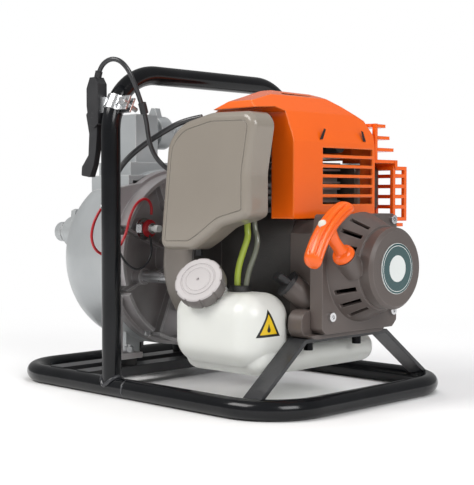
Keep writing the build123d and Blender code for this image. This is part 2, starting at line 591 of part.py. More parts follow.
CYLINDER_X = 93.0
with BuildPart() as cylinder:
    rod((CYLINDER_X, CRANK_Y, 190), (CYLINDER_X, CRANK_Y, 270), 26)
    block((64, 122), (-42, 42), (190, 195))
    for step in range(11):
        z = 200 + 6.5 * step
        block((60, 134), (-48, 48), (z, z + 2))
    block((80, 110), (-60, -20), (202, 222))
    block((100, 128), (20, 50), (200, 226))
    rod((CYLINDER_X, CRANK_Y, 180), (CYLINDER_X, CRANK_Y, 262), 20, mode=Mode.SUBTRACT)
    rod((CYLINDER_X, -70, 212), (CYLINDER_X, CRANK_Y, 212), 7, mode=Mode.SUBTRACT)
    rod((114, 60, 213), (CYLINDER_X, CRANK_Y, 213), 8, mode=Mode.SUBTRACT)
    rod((110, CRANK_Y + 12, 258), (140, CRANK_Y + 12, 258), 5, mode=Mode.SUBTRACT)
save(cylinder, "cylinder")

with BuildPart() as piston:
    rod((CYLINDER_X, CRANK_Y, 226), (CYLINDER_X, CRANK_Y, 256), 20 - RUN_CLEARANCE)
    rod((CYLINDER_X, CRANK_Y, 226), (CYLINDER_X, CRANK_Y, 250), 16.5, mode=Mode.SUBTRACT)
save(piston, "piston")

with BuildPart() as rocker_cover:
    block((62, 126), (-37, 37), (270, 294))
    fillet(edges().filter_by(Axis.Z), radius=10)
    fillet(faces().sort_by(Axis.Z)[-1].edges(), radius=5)
    block((65, 123), (-34, 34), (270, 290), mode=Mode.SUBTRACT)
save(rocker_cover, "rocker_cover")

with BuildPart() as spark_plug:
    rod((120, CRANK_Y + 12, 258), (134.5, CRANK_Y + 12, 258), 5 - RUN_CLEARANCE)
    hexagon((134.5, CRANK_Y + 12, 258), (140, CRANK_Y + 12, 258), 8)
    rod((140, CRANK_Y + 12, 258), (150, CRANK_Y + 12, 258), 4.5)
save(spark_plug, "spark_plug")

# Boot on the spark plug and its lead, which runs over the rocker cover to the coil.
lead_route = [
    (152, CRANK_Y + 12, 263),
    (152, CRANK_Y + 12, 281),
    (142, CRANK_Y + 13, 294),
    (118, CRANK_Y + 14, 300),
    (60, CRANK_Y + 10, 300),
    (34, CRANK_Y + 2, 278),
    (27, CRANK_Y, 250),
    (27, CRANK_Y, CRANK_Z + 78),
]
ht_lead = cable(lead_route, 3, "ht_lead")
with ht_lead:
    rod((142, CRANK_Y + 12, 258), (163, CRANK_Y + 12, 258), 8)
    rod((140, CRANK_Y + 12, 258), (150.2, CRANK_Y + 12, 258), 4.55, mode=Mode.SUBTRACT)
save(ht_lead, "ht_lead")

# Moulded hood over the cylinder, with an eave above the air cleaner.
HOOD = (45.0, 171.0)


def hood_bevel(drop):
    """Cut the open part above the hood's outline as seen on the diagonal, lowered by drop."""
    with BuildSketch(Plane(origin=(0, 0, -drop), x_dir=(1, 1, 0), z_dir=(1, -1, 0))) as bevel:
        Polygon((-60, 284), (-12, 286), (16, 299.5), (34, 308), (46, 313), (86, 313), (105, 307.5),
                (126, 298), (151, 284), (161, 269), (162.5 - drop, 254), (162.5 - drop, 150), (230, 150),
                (230, 340), (-60, 340), align=None)
    extrude(bevel.sketch, amount=200, both=True, mode=Mode.SUBTRACT)


with BuildPart() as hood_hollow:
    with BuildSketch(facing_x(HOOD[0])):
        Polygon((61, 180), (61, 267), (53.5, 290), (37, 306.5), (-46, 308.5), (-63, 291), (-64, 286),
                (-64, 180), align=None)
    extrude(amount=95)
    with BuildSketch(facing_front(58)) as front_room:
        Polygon((139, 180), (139, 302), (146, 298), (156, 286), (162, 272), (165, 258), (168, 256),
                (168, 180), align=None)
    extrude(front_room.sketch, amount=120)
    hood_bevel(3.5)

with BuildPart() as engine_shroud:
    with BuildSketch(facing_x(HOOD[0])):
        with BuildLine():
            Polyline((64, 184.5), (64, 268), (56, 292), (38, 310), (-46, 312), (-72, 305), (-106, 297),
                     (-108, 290), (-78, 292), (-67, 288), (-67, 184.5), close=True)
        make_face()
    extrude(amount=HOOD[1] - HOOD[0])
    with BuildSketch(facing_front(70)) as brow:
        Polygon((118, 313), (146, 305), (160, 289), (167, 272), (171, 260), (180, 260), (180, 330),
                (118, 330), align=None)
    extrude(brow.sketch, amount=190, mode=Mode.SUBTRACT)
    hood_bevel(0)
    add(hood_hollow.part, mode=Mode.SUBTRACT)
    # Room for the fan cover and the crankcase flange under the hood's rear edge.
    rod((HOOD[0] - 5, CRANK_Y, CRANK_Z), (52, CRANK_Y, CRANK_Z), FAN_COVER_R + 0.5, mode=Mode.SUBTRACT)
    for step in range(6):
        z = 198.5 + 9.8 * step
        block((160, 180), (-24, 55), (z, z + 6.6), mode=Mode.SUBTRACT)
    block((60, 142), (-70, -60), (180, 284), mode=Mode.SUBTRACT)
    block((92, 152), (55, 70), (186, 244), mode=Mode.SUBTRACT)
save(engine_shroud, "engine_shroud")

with BuildPart() as muffler:
    block((98, 148), (55, 94), (190, 240))
    fillet(edges().filter_by(Axis.Y), radius=8)
    block((104, 122), (50, 55), (204, 222))
    rod((123, 74, 184), (123, 74, 192), 6)
    rod((123, 74, 184), (123, 74, 195), 4.5, mode=Mode.SUBTRACT)
save(muffler, "muffler")

# Moulded guard round the hot side: blunt fins on uprights, and a barred box over the muffler.
with BuildPart() as muffler_guard:
    for step in range(4):
        z = 241 + 12.5 * step
        reach = 106 - 4.5 * step
        with BuildSketch(Plane.XY.offset(z)) as fin:
            with Locations((144, (64.5 + reach) / 2)):
                RectangleRounded(46 - 4 * step, reach - 64.5, 4)
        extrude(fin.sketch, amount=3.5)
    for x in (132, 148, 164):
        block((x - 2, x + 2), (66, 70), (241, 282))
        block((x - 2, x + 2), (66, 70), (167, 183))
    block((126, 168), (98, 102), (236, 243))
    block((124, 166), (97, 121), (234, 238))
    block((124, 166), (97, 121), (180, 184))
    block((162, 166), (117, 121), (180, 238))
    block((124, 128), (117, 121), (180, 238))
    block((162, 166), (97, 101), (180, 238))
    block((124, 128), (97, 101), (180, 238))
    for step in range(4):
        z = 193 + 11 * step
        block((124, 128), (97, 121), (z, z + 4))
        block((162, 166), (97, 121), (z, z + 4))
        block((124, 166), (117, 121), (z, z + 4))
    for x in (132, 164):
        block((x - 2, x + 2), (66, 100), (180, 183))
    for z in (166, 174):
        with BuildSketch(Plane.XY.offset(z)) as fin:
            with Locations((144, 92)):
                RectangleRounded(40, 56, 4)
        extrude(fin.sketch, amount=3.5)
save(muffler_guard, "muffler_guard")

# ---------------------------------------------------------------- air and fuel

CARB = ((92.0, 128.0), (-83.0, -61.0), (192.0, 230.0))
with BuildPart() as carburettor:
    block(*CARB)
    block((80, 110), (-61, -60), (202, 222))
    block((96, 124), (-83, -65), (182, 192))
    rod((110, FILTER_BACK_Y + 4, 212), (110, CARB[1][0] + 1, 212), 11)
    rod((110, FILTER_BACK_Y + 4, 212), (110, -60, 212), 8, mode=Mode.SUBTRACT)
    rod((128, -72, 203), (133, -72, 203), 9)
    rod((128, -72, 203), (133, -72, 203), 7, mode=Mode.SUBTRACT)
    rod((118, -72, 230), (118, -72, 234), 5)
    rod((118, -72, 190), (118, -72, 234), 2.5, mode=Mode.SUBTRACT)
save(carburettor, "carburettor")

with BuildPart() as throttle_arm:
    rod((118, -72, 194), (118, -72, 236), 2.5 - RUN_CLEARANCE)
    block((115, 134), (-75, -69), (234.5, 236.5))
save(throttle_arm, "throttle_arm")

with BuildPart() as primer_bulb:
    rod((132.3, -72, 203), (134, -72, 203), 6.5)
    with Locations((134, -72, 203)):
        Sphere(6.5, arc_size1=0, rotation=(0, 90, 0))
save(primer_bulb, "primer_bulb")

FILTER_OUTLINE = [(36, 160), (48, 262), (70, 279), (110, 287), (160, 286), (170, 276), (161, 228),
                  (161, 188), (152, 184), (122, 177), (98, 162), (82, 153.5), (42, 152.5)]


def filter_outline(shrink=0.0):
    """Air cleaner outline, drawn in by shrink, in the open sketch."""
    Polygon(*FILTER_OUTLINE, align=None)
    fillet(vertices(), radius=4)
    if shrink:
        offset(amount=-shrink, kind=Kind.INTERSECTION, mode=Mode.REPLACE)


with BuildPart() as air_filter_base:
    with BuildSketch(facing_front(FILTER_BACK_Y + 4)):
        filter_outline(6)
    extrude(amount=4)
    rod((110, FILTER_BACK_Y + 5, 212), (110, FILTER_BACK_Y - 1, 212), 8, mode=Mode.SUBTRACT)
    rod((60, FILTER_BACK_Y + 5, 175), (60, FILTER_BACK_Y - 1, 175), 2.5, mode=Mode.SUBTRACT)
save(air_filter_base, "air_filter_base")

with BuildPart() as choke_lever:
    rod((60, FILTER_BACK_Y + 7, 175), (60, FILTER_BACK_Y - 4, 175), 2.5 - RUN_CLEARANCE)
    block((56, 64), (FILTER_BACK_Y + 4.5, FILTER_BACK_Y + 7), (146, 179))
save(choke_lever, "choke_lever")

with BuildPart() as air_filter_element:
    block((62, 148), (FILTER_BACK_Y - 22, FILTER_BACK_Y), (192, 268))
    fillet(edges().filter_by(Axis.Y), radius=8)
save(air_filter_element, "air_filter_element")

with BuildPart() as air_filter_cover:
    with BuildSketch(facing_front(FILTER_BACK_Y)):
        filter_outline()
    extrude(amount=FILTER_BACK_Y - FILTER_FACE_Y)
    chamfer(faces().sort_by(Axis.Y)[0].edges(), length=3)
    with BuildSketch(facing_front(FILTER_BACK_Y)) as hollow:
        filter_outline(3)
    extrude(hollow.sketch, amount=FILTER_BACK_Y - FILTER_FACE_Y - 3, mode=Mode.SUBTRACT)
save(air_filter_cover, "air_filter_cover")

# Blow-moulded tank: a tall lobe beside the engine and a low pan that runs under it.
CAP_TOP = Vector(100, -126, 126)
CAP_WAY = Vector(0.29, -0.77, 0.57).normalized()
GROMMET = (117.0, -85.0)


def on_cap(distance):
    """Point on the filler's axis, measured down from the cap's top face."""
    return tuple(CAP_TOP - CAP_WAY * distance)


def tank_body(shrink, mode):
    """Lobe and pan of the tank, drawn in by shrink on every side."""
    pieces = []
    lobe = ((52, 165.5), (-123, -56), (41, TANK_TOP), 24)
    pan = ((58, 165.5), (-110, 72), (34, 64), 14)
    for x, y, z, edge_r in (lobe, pan):
        with BuildPart() as piece:
            block(*inset((x, y, z), shrink))
            fillet(piece.edges(), radius=edge_r - shrink)
        pieces.append(piece.part)
    for piece in pieces:
        add(piece, mode=mode)


with BuildPart() as fuel_tank:
    tank_body(0, Mode.ADD)
    rod(on_cap(15 + GAP), on_cap(-2), 25 + GAP, mode=Mode.SUBTRACT)
    rod(on_cap(46), on_cap(4), 19)
    tank_body(TANK_WALL, Mode.SUBTRACT)
    rod(on_cap(50), on_cap(4), 16.5, mode=Mode.SUBTRACT)
    rod((GROMMET[0], GROMMET[1], 104), (GROMMET[0], GROMMET[1], TANK_TOP + 1), 9, mode=Mode.SUBTRACT)
save(fuel_tank, "fuel_tank")

with BuildPart() as fuel_cap:
    rod(on_cap(15), on_cap(0), 25)
    fillet(edges().group_by(Axis.Z)[-1], radius=2)
    rod(on_cap(16), on_cap(3.5), 19.4, mode=Mode.SUBTRACT)
    rod(on_cap(3), on_cap(-1), 1.2, mode=Mode.SUBTRACT)
save(fuel_cap, "fuel_cap")

# Rubber grommet in the tank with the feed and return hoses that rise to the carburettor.
FEED_ROUTE = [(114, -86, 119), (114, -86, 132), (119, -84, 150), (124, -81, 166), (122, -80, 174),
              (122, -80, 182)]
RETURN_ROUTE = [(121, -81, 119), (122, -79, 132), (128, -75, 150), (129, -72, 164), (122, -70, 174),
                (122, -70, 182)]
with BuildPart() as fuel_lines:
    rod((GROMMET[0], GROMMET[1], 104), (GROMMET[0], GROMMET[1], TANK_TOP + 1), 9 - RUN_CLEARANCE)
    rod((GROMMET[0], GROMMET[1], TANK_TOP), (GROMMET[0], GROMMET[1], 119), 12)
add_feed = cable(FEED_ROUTE, 3.2, "feed hose")
add_return = cable(RETURN_ROUTE, 2.8, "return hose")
with fuel_lines:
    add(add_feed.part)
    add(add_return.part)
save(fuel_lines, "fuel_lines")

# ---------------------------------------------------------------- recoil starter

ROPE_EYE = Vector(222, -48, 145.5)
EYE_END = 5.0
PULL_WAY = Vector(0, -0.72, 0.694).normalized()
BAR_WAY = Vector(0, 0.694, 0.72).normalized()


def on_rope(distance):
    """Point along the starter rope, outwards from its eye."""
    return tuple(ROPE_EYE + PULL_WAY * distance)


with BuildPart() as recoil_housing:
    with BuildSketch(facing_x(REAR_CASE_END)):
        Polygon((-60, 79), (-60, 158), (-53, 189), (50, 189), (56, 183), (56, 81), (49, 74.5), (-55, 74.5),
                align=None)
        fillet(vertices(), radius=4)
    extrude(amount=FLANGE_X - REAR_CASE_END)
    turned([(FLANGE_X, 0), (FLANGE_X, 54), (229, 41), (229, CAP_R), (240.5, CAP_R), (CAP_FACE_X, 36.5),
            (CAP_FACE_X, 0)])
    rod(on_rope(-16), on_rope(EYE_END), 11)
    turned([(REAR_CASE_END, 0), (REAR_CASE_END, 46), (FLANGE_X, 50), (228, 38), (238, 36), (240, 33),
            (240, 0)], mode=Mode.SUBTRACT)
    rod(on_rope(-24), on_rope(EYE_END), 3.2, mode=Mode.SUBTRACT)
    for angle in (116, 135, 154, 206, 224, 242):
        with BuildSketch(facing_x(205, CRANK_Y, CRANK_Z)) as slot:
            with Locations(Rotation(0, 0, angle)):
                with Locations((48, 0)):
                    Rectangle(24, 5)
        extrude(slot.sketch, amount=20, mode=Mode.SUBTRACT)
    for y in (-48, 48):
        for z in (91, 183):
            rod((190, y, z), (FLANGE_X, y, z), M5_R + RUN_CLEARANCE, mode=Mode.SUBTRACT)
save(recoil_housing, "recoil_housing")

with BuildPart() as recoil_screws:
    for y in (-48, 48):
        for z in (91, 183):
            rod((190, y, z), (FLANGE_X, y, z), M5_R)
            rod((FLANGE_X, y, z), (FLANGE_X + 3.5, y, z), 4.5)
            hexagon((FLANGE_X + 1.5, y, z), (FLANGE_X + 4, y, z), 2.4, mode=Mode.SUBTRACT)
save(recoil_screws, "recoil_screws")

REEL_ROPE_R = 25.0
with BuildPart() as recoil_reel:
    turned([(214, 0), (214, 31), (218.5, 31), (218.5, REEL_ROPE_R), (225.5, REEL_ROPE_R), (225.5, 31),
            (228, 31), (228, 12), (236, 12), (236, 0)])
    rod((202, CRANK_Y, CRANK_Z), (214, CRANK_Y, CRANK_Z), 14)
save(recoil_reel, "recoil_reel")

# T-handle: a bowed bar on a hollow stem whose foot rests over the rope's eye.
BAR_HALF = 39.5
with BuildPart() as recoil_handle:
    rod(on_rope(EYE_END + GAP), on_rope(13), 11)
    rod(on_rope(13), on_rope(42), 6.5)
    middle = Vector(*on_rope(44))
    ends = [tuple(middle + BAR_WAY * side * BAR_HALF - PULL_WAY * 9) for side in (-1, 1)]
    elbows = [tuple(middle + BAR_WAY * side * 15 + PULL_WAY * 1) for side in (-1, 1)]
    for end, elbow in zip(ends, elbows):
        rod(elbow, end, 8)
        with Locations(end):
            Sphere(8)
        with Locations(elbow):
            Sphere(8)
    rod(elbows[0], elbows[1], 8)
    rod(on_rope(0), on_rope(44), 3.2, mode=Mode.SUBTRACT)
    rod(on_rope(44), on_rope(66), 6, mode=Mode.SUBTRACT)
save(recoil_handle, "recoil_handle")

with BuildPart() as recoil_rope:
    rod(on_rope(-40), on_rope(45), 2)
    with Locations(on_rope(49)):
        Sphere(5)
save(recoil_rope, "recoil_rope")

# ---------------------------------------------------------------- hand controls

GRIP_X = -38.0
GRIP_Y = -140.0
GRIP_Z = 290.0
with BuildPart() as throttle_housing:
    with BuildSketch(facing_front(GRIP_Y + 6)):
        Polygon((-28, 281), (-28, 322), (-33, 329), (-41, 329), (-46.5, 318), (-46.5, 300), (-43, 281),
                (-35, 277), align=None)
    extrude(amount=12)
    rod((GRIP_X, GRIP_Y - 8, GRIP_Z), (GRIP_X, GRIP_Y + 8, GRIP_Z), 2.5 + RUN_CLEARANCE, mode=Mode.SUBTRACT)
    block((-60, -30.5), (GRIP_Y - 4, GRIP_Y + 4), (270, 303), mode=Mode.SUBTRACT)
    # Ferrule on top, bored for the end of the cable.
    rod((-36, GRIP_Y, 327), (-33, GRIP_Y, 335), 3.8)
    rod((-35.25, GRIP_Y, 329), (-33, GRIP_Y, 335), 2.8, mode=Mode.SUBTRACT)
save(throttle_housing, "throttle_housing")

# Steel band round the bend of the hoop, drawn tight by one screw.
CLAMP_Z = 300.0
bend_rise = CLAMP_Z - (hoop_top - HOOP_BEND)
bend_angle = math.asin(bend_rise / HOOP_BEND)
clamp_y = -SIDE_Y + HOOP_BEND * (1 - math.cos(bend_angle))
CLAMP_PLANE = Plane(origin=(HOOP_X, clamp_y, CLAMP_Z), x_dir=(1, 0, 0),
                    z_dir=(0, math.sin(bend_angle), math.cos(bend_angle)))


def on_clamp(x, y):
    """Point in the clamp's middle plane."""
    return tuple(CLAMP_PLANE.from_local_coords((x, y, 0)))


with BuildPart() as band_clamp:
    with BuildSketch(CLAMP_PLANE.offset(-8)) as band:
        Circle(TUBE_R + 0.9)
        with Locations((13, 0)):
            Rectangle(22, 8)
    extrude(band.sketch, amount=16)
    with BuildSketch(CLAMP_PLANE.offset(-8)) as slit:
        with Locations((18, 0)):
            Rectangle(20, 4)
    extrude(slit.sketch, amount=16, mode=Mode.SUBTRACT)
    block((-27.9, -22), (GRIP_Y - 3, clamp_y + 4), (CLAMP_Z - 8, CLAMP_Z + 8))
    add(hoop_envelope, mode=Mode.SUBTRACT)
    rod(on_clamp(19, -11), on_clamp(19, 13), 2.5)
    rod(on_clamp(19, -8), on_clamp(19, -4), 5)
save(band_clamp, "band_clamp")

with BuildPart() as throttle_lever:
    rod((GRIP_X, GRIP_Y - 6, GRIP_Z), (GRIP_X, GRIP_Y + 6, GRIP_Z), 2.5)
    with BuildSketch(facing_front(GRIP_Y + 3.5)):
        with BuildLine():
            Polyline((-35, 295), (-46, 296.5), (-50.5, 291), (-45.5, 271), (-47, 249), (-58, 237), (-59, 228),
                     (-45, 226), (-38.5, 239), (-35, 253), (-32.5, 274), (-32.5, 288), close=True)
        make_face()
        fillet(vertices(), radius=2)
    extrude(amount=7)
save(throttle_lever, "throttle_lever")

# Throttle cable: over the top of the housing, down inside the hoop, behind the air cleaner.
CABLE_ROUTE = [
    (-35, -140, 329.7),
    (-33, -140, 335),
    (-26, -140, 343),
    (-14, -139, 347),
    (-3, -136, 344),
    (4, -131, 334),
    (6.5, -125, 319),
    (7, -118, 303),
    (6, -110, 286),
    (2, -104, 270),
    (0, -98, 256),
    (2, -91, 244),
    (12, -84, 233),
    (30, -79, 229),
    (52, -76, 231),
    (72, -74, 237),
    (92, -72, 241),
    (108, -70, 243),
]
throttle_cable = cable(CABLE_ROUTE, 2.5, "throttle cable")
save(throttle_cable, "throttle_cable")

with BuildPart() as stop_switch:
    rod((-76, SWITCH_Y, SWITCH_Z), (-44, SWITCH_Y, SWITCH_Z), 6 - RUN_CLEARANCE)
    rod((-66.3, SWITCH_Y, SWITCH_Z), (-58, SWITCH_Y, SWITCH_Z), 12)
    hexagon((-58, SWITCH_Y, SWITCH_Z), (-50, SWITCH_Y, SWITCH_Z), 9)
    rod((-58, SWITCH_Y, SWITCH_Z), (-40, SWITCH_Y, SWITCH_Z), 2.6 + RUN_CLEARANCE, mode=Mode.SUBTRACT)
save(stop_switch, "stop_switch")

with BuildPart() as stop_button:
    rod((-54, SWITCH_Y, SWITCH_Z), (-38, SWITCH_Y, SWITCH_Z), 2.6)
    rod((-40, SWITCH_Y, SWITCH_Z), (-33, SWITCH_Y, SWITCH_Z), 4)
save(stop_button, "stop_button")

# Stop circuit: sleeved loom from under the hood, red lead to the switch, black earth lead.
SLEEVE_ROUTE = [(43.5, -66, 288), (25, -75, 285), (2, -82, 274), (-16, -92, 262),
                (-30, -103, 248), (-36, -116, 230), (-37, -121, 206), (-37, -122, 184)]
RED_ROUTE = [(-47.5, -56.5, 186.5), (-45, -57, 196), (-45, -66, 205), (-44, -80, 200), (-43, -91, 185),
             (-43, -96, 166), (-43, -107, 150), (-44, -121, 143), (-47, -134, 148), (-49, -139, 161),
             (-49, -137, 174), (-48, -132, 186), (-47, -127, 193)]
EARTH_ROUTE = [(-44, -62, 164), (-41, -60, 150), (-40, -68, 133), (-40, -83, 126), (-40, -98, 133),
               (-39, -110, 148), (-38, -119, 166)]
with BuildPart() as switch_wires:
    rod((-49.9, SWITCH_Y, SWITCH_Z), (-48.9, SWITCH_Y, SWITCH_Z), 7.5)
    rod((-48.2, SWITCH_Y, SWITCH_Z + 6.4), (-47.5, -56.5, 187), 1.6)
    rod((-55, SWITCH_Y, SWITCH_Z), (-40, SWITCH_Y, SWITCH_Z), 6.1, mode=Mode.SUBTRACT)
wires = [
    cable(SLEEVE_ROUTE, 3, "sleeve"),
    cable(RED_ROUTE, 1.5, "red lead"),
    cable(EARTH_ROUTE, 1.2, "earth"),
]
with switch_wires:
    for wire in wires:
        add(wire.part)
save(switch_wires, "switch_wires")
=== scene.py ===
import math
import bpy
import bmesh
from mathutils import Matrix, Vector


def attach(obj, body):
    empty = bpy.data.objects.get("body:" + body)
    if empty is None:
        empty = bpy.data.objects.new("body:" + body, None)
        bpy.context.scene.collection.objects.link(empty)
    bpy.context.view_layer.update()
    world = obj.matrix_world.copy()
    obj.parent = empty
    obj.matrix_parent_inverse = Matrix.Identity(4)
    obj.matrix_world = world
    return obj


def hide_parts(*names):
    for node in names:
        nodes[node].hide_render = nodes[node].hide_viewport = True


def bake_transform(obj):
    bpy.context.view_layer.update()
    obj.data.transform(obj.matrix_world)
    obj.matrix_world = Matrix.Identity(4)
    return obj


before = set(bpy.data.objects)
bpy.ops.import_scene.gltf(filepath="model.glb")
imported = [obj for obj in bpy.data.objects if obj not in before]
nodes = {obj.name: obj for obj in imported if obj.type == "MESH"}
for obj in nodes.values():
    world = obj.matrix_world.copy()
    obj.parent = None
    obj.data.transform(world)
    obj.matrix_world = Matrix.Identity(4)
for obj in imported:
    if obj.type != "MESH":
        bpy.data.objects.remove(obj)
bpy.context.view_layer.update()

# ---------------------------------------------------------------- camera and light
# The machine stands on a pale studio floor and is seen from its front left corner,
# a little above the hoop's middle. Three soft boxes and a dim sky give the long glints.
camera_data = bpy.data.cameras.new("camera")
camera_data.lens = 85.7
camera_data.sensor_width = 36
camera_data.clip_end = 20
camera = bpy.data.objects.new("camera", camera_data)
camera.location = (0.9085, -0.8941, 0.20539)
camera.rotation_euler = (math.radians(90 - 2.25), 0, math.radians(44.53))
bpy.context.scene.collection.objects.link(camera)
bpy.context.scene.camera = camera
bpy.context.scene.view_settings.view_transform = "Standard"

sky = bpy.data.worlds.new("sky")
sky.use_nodes = True
sky_tree = sky.node_tree
seen = sky_tree.nodes.new("ShaderNodeLightPath")
brightness = sky_tree.nodes.new("ShaderNodeMapRange")
brightness.inputs["To Min"].default_value = 0.3
brightness.inputs["To Max"].default_value = 1.0
sky_tree.links.new(seen.outputs["Is Camera Ray"], brightness.inputs["Value"])
sky_tree.links.new(brightness.outputs["Result"], sky_tree.nodes["Background"].inputs["Strength"])
sky_tree.nodes["Background"].inputs["Color"].default_value = (1, 1, 1, 1)
bpy.context.scene.world = sky


def soft_box(name, place, aim, size, power, tint):
    """Rectangular studio light pointed at aim."""
    data = bpy.data.lights.new(name, "AREA")
    data.shape = "RECTANGLE"
    data.size, data.size_y = size
    data.energy = power
    data.color = tint
    lamp = bpy.data.objects.new(name, data)
    lamp.location = place
    lamp.rotation_euler = (Vector(aim) - Vector(place)).to_track_quat("-Z", "Y").to_euler()
    bpy.context.scene.collection.objects.link(lamp)
    return lamp


soft_box("key", (-0.5, -1.6, 1.7), (0, 0, 0.15), (1.4, 0.9), 34, (1, 0.98, 0.96))
soft_box("front", (1.9, -0.5, 1.2), (0.1, 0, 0.15), (1.0, 1.0), 24, (1, 1, 1))
top_light = soft_box("top", (0.1, 0.5, 1.9), (0, 0, 0.2), (1.0, 1.0), 11, (0.97, 0.98, 1))
rim_light = soft_box("back", (-1.5, 1.3, 0.9), (0, 0, 0.2), (0.8, 0.8), 10, (0.95, 0.97, 1))
rim_light.visible_glossy = False
top_light.visible_glossy = False

floor_mesh = bpy.data.meshes.new("floor")
shape = bmesh.new()
bmesh.ops.create_grid(shape, x_segments=1, y_segments=1, size=6)
shape.to_mesh(floor_mesh)
shape.free()
floor = bpy.data.objects.new("floor", floor_mesh)
bpy.context.scene.collection.objects.link(floor)
floor_paint = bpy.data.materials.new("floor_paint")
floor_paint.use_nodes = True
floor_paint.node_tree.nodes["Principled BSDF"].inputs["Base Color"].default_value = (0.92, 0.92, 0.92, 1)
floor_paint.node_tree.nodes["Principled BSDF"].inputs["Roughness"].default_value = 0.9
floor_paint.node_tree.nodes["Principled BSDF"].inputs["Specular IOR Level"].default_value = 0.1
floor_tree = floor_paint.node_tree
floor_place = floor_tree.nodes.new("ShaderNodeTexCoord")
floor_reach = floor_tree.nodes.new("ShaderNodeVectorMath")
floor_reach.operation = "LENGTH"
floor_fade = floor_tree.nodes.new("ShaderNodeMapRange")
floor_fade.interpolation_type = "SMOOTHSTEP"
floor_fade.inputs["From Min"].default_value = 0.35
floor_fade.inputs["From Max"].default_value = 0.9
floor_glow = floor_tree.nodes.new("ShaderNodeEmission")
floor_mix = floor_tree.nodes.new("ShaderNodeMixShader")
floor_tree.links.new(floor_place.outputs["Object"], floor_reach.inputs[0])
floor_tree.links.new(floor_reach.outputs["Value"], floor_fade.inputs["Value"])
floor_tree.links.new(floor_fade.outputs["Result"], floor_mix.inputs[0])
floor_tree.links.new(floor_tree.nodes["Principled BSDF"].outputs[0], floor_mix.inputs[1])
floor_tree.links.new(floor_glow.outputs[0], floor_mix.inputs[2])
floor_tree.links.new(floor_mix.outputs[0], floor_tree.nodes["Material Output"].inputs["Surface"])
floor_mesh.materials.append(floor_paint)

# ---------------------------------------------------------------- tube frame
# Bent steel tube, butt welded into a loop, with a hoop welded on top of it.
# The whole frame is dipped in black enamel, which rounds every edge and pools at the welds.

# Shared surface effect: rounded edges, wear and a painted highlight along them, fine grain and slow colour
# drift.
surface = bpy.data.node_groups.new("wear_and_highlight_surface", "ShaderNodeTree")
for label, kind, value in (
    ("Edge Radius", "NodeSocketFloat", 0.001),
    ("Grain Scale", "NodeSocketFloat", 900.0),
    ("Grain Depth", "NodeSocketFloat", 0.1),
    ("Drift Scale", "NodeSocketFloat", 18.0),
):
    socket = surface.interface.new_socket(label, in_out="INPUT", socket_type=kind)
    socket.default_value = value
for label, kind in (
    ("Edge", "NodeSocketFloat"),
    ("Drift", "NodeSocketFloat"),
    ("Grain", "NodeSocketFloat"),
    ("Normal", "NodeSocketVector"),
):
    surface.interface.new_socket(label, in_out="OUTPUT", socket_type=kind)
made = surface.nodes
wire = surface.links.new
group_in = made.new("NodeGroupInput")
group_out = made.new("NodeGroupOutput")
place = made.new("ShaderNodeTexCoord")
rounding = made.new("ShaderNodeBevel")
rounding.samples = 4
flat = made.new("ShaderNodeNewGeometry")
facing = made.new("ShaderNodeVectorMath")
facing.operation = "DOT_PRODUCT"
# Edge mask: wear and a painted highlight where the rounded normal leaves the flat one.
edge_wear_and_highlight = made.new("ShaderNodeMapRange")
edge_wear_and_highlight.inputs["From Min"].default_value = 0.995
edge_wear_and_highlight.inputs["From Max"].default_value = 0.86
drift = made.new("ShaderNodeTexNoise")
drift.inputs["Detail"].default_value = 4
grain = made.new("ShaderNodeTexNoise")
grain.inputs["Detail"].default_value = 3
dent = made.new("ShaderNodeBump")
dent.inputs["Distance"].default_value = 0.0004
wire(group_in.outputs["Edge Radius"], rounding.inputs["Radius"])
wire(rounding.outputs["Normal"], facing.inputs[0])
wire(flat.outputs["Normal"], facing.inputs[1])
wire(facing.outputs["Value"], edge_wear_and_highlight.inputs["Value"])
wire(place.outputs["Object"], drift.inputs["Vector"])
wire(place.outputs["Object"], grain.inputs["Vector"])
wire(group_in.outputs["Drift Scale"], drift.inputs["Scale"])
wire(group_in.outputs["Grain Scale"], grain.inputs["Scale"])
wire(group_in.outputs["Grain Depth"], dent.inputs["Strength"])
wire(grain.outputs["Fac"], dent.inputs["Height"])
wire(rounding.outputs["Normal"], dent.inputs["Normal"])
wire(edge_wear_and_highlight.outputs["Result"], group_out.inputs["Edge"])
wire(drift.outputs["Fac"], group_out.inputs["Drift"])
wire(grain.outputs["Fac"], group_out.inputs["Grain"])
wire(dent.outputs["Normal"], group_out.inputs["Normal"])


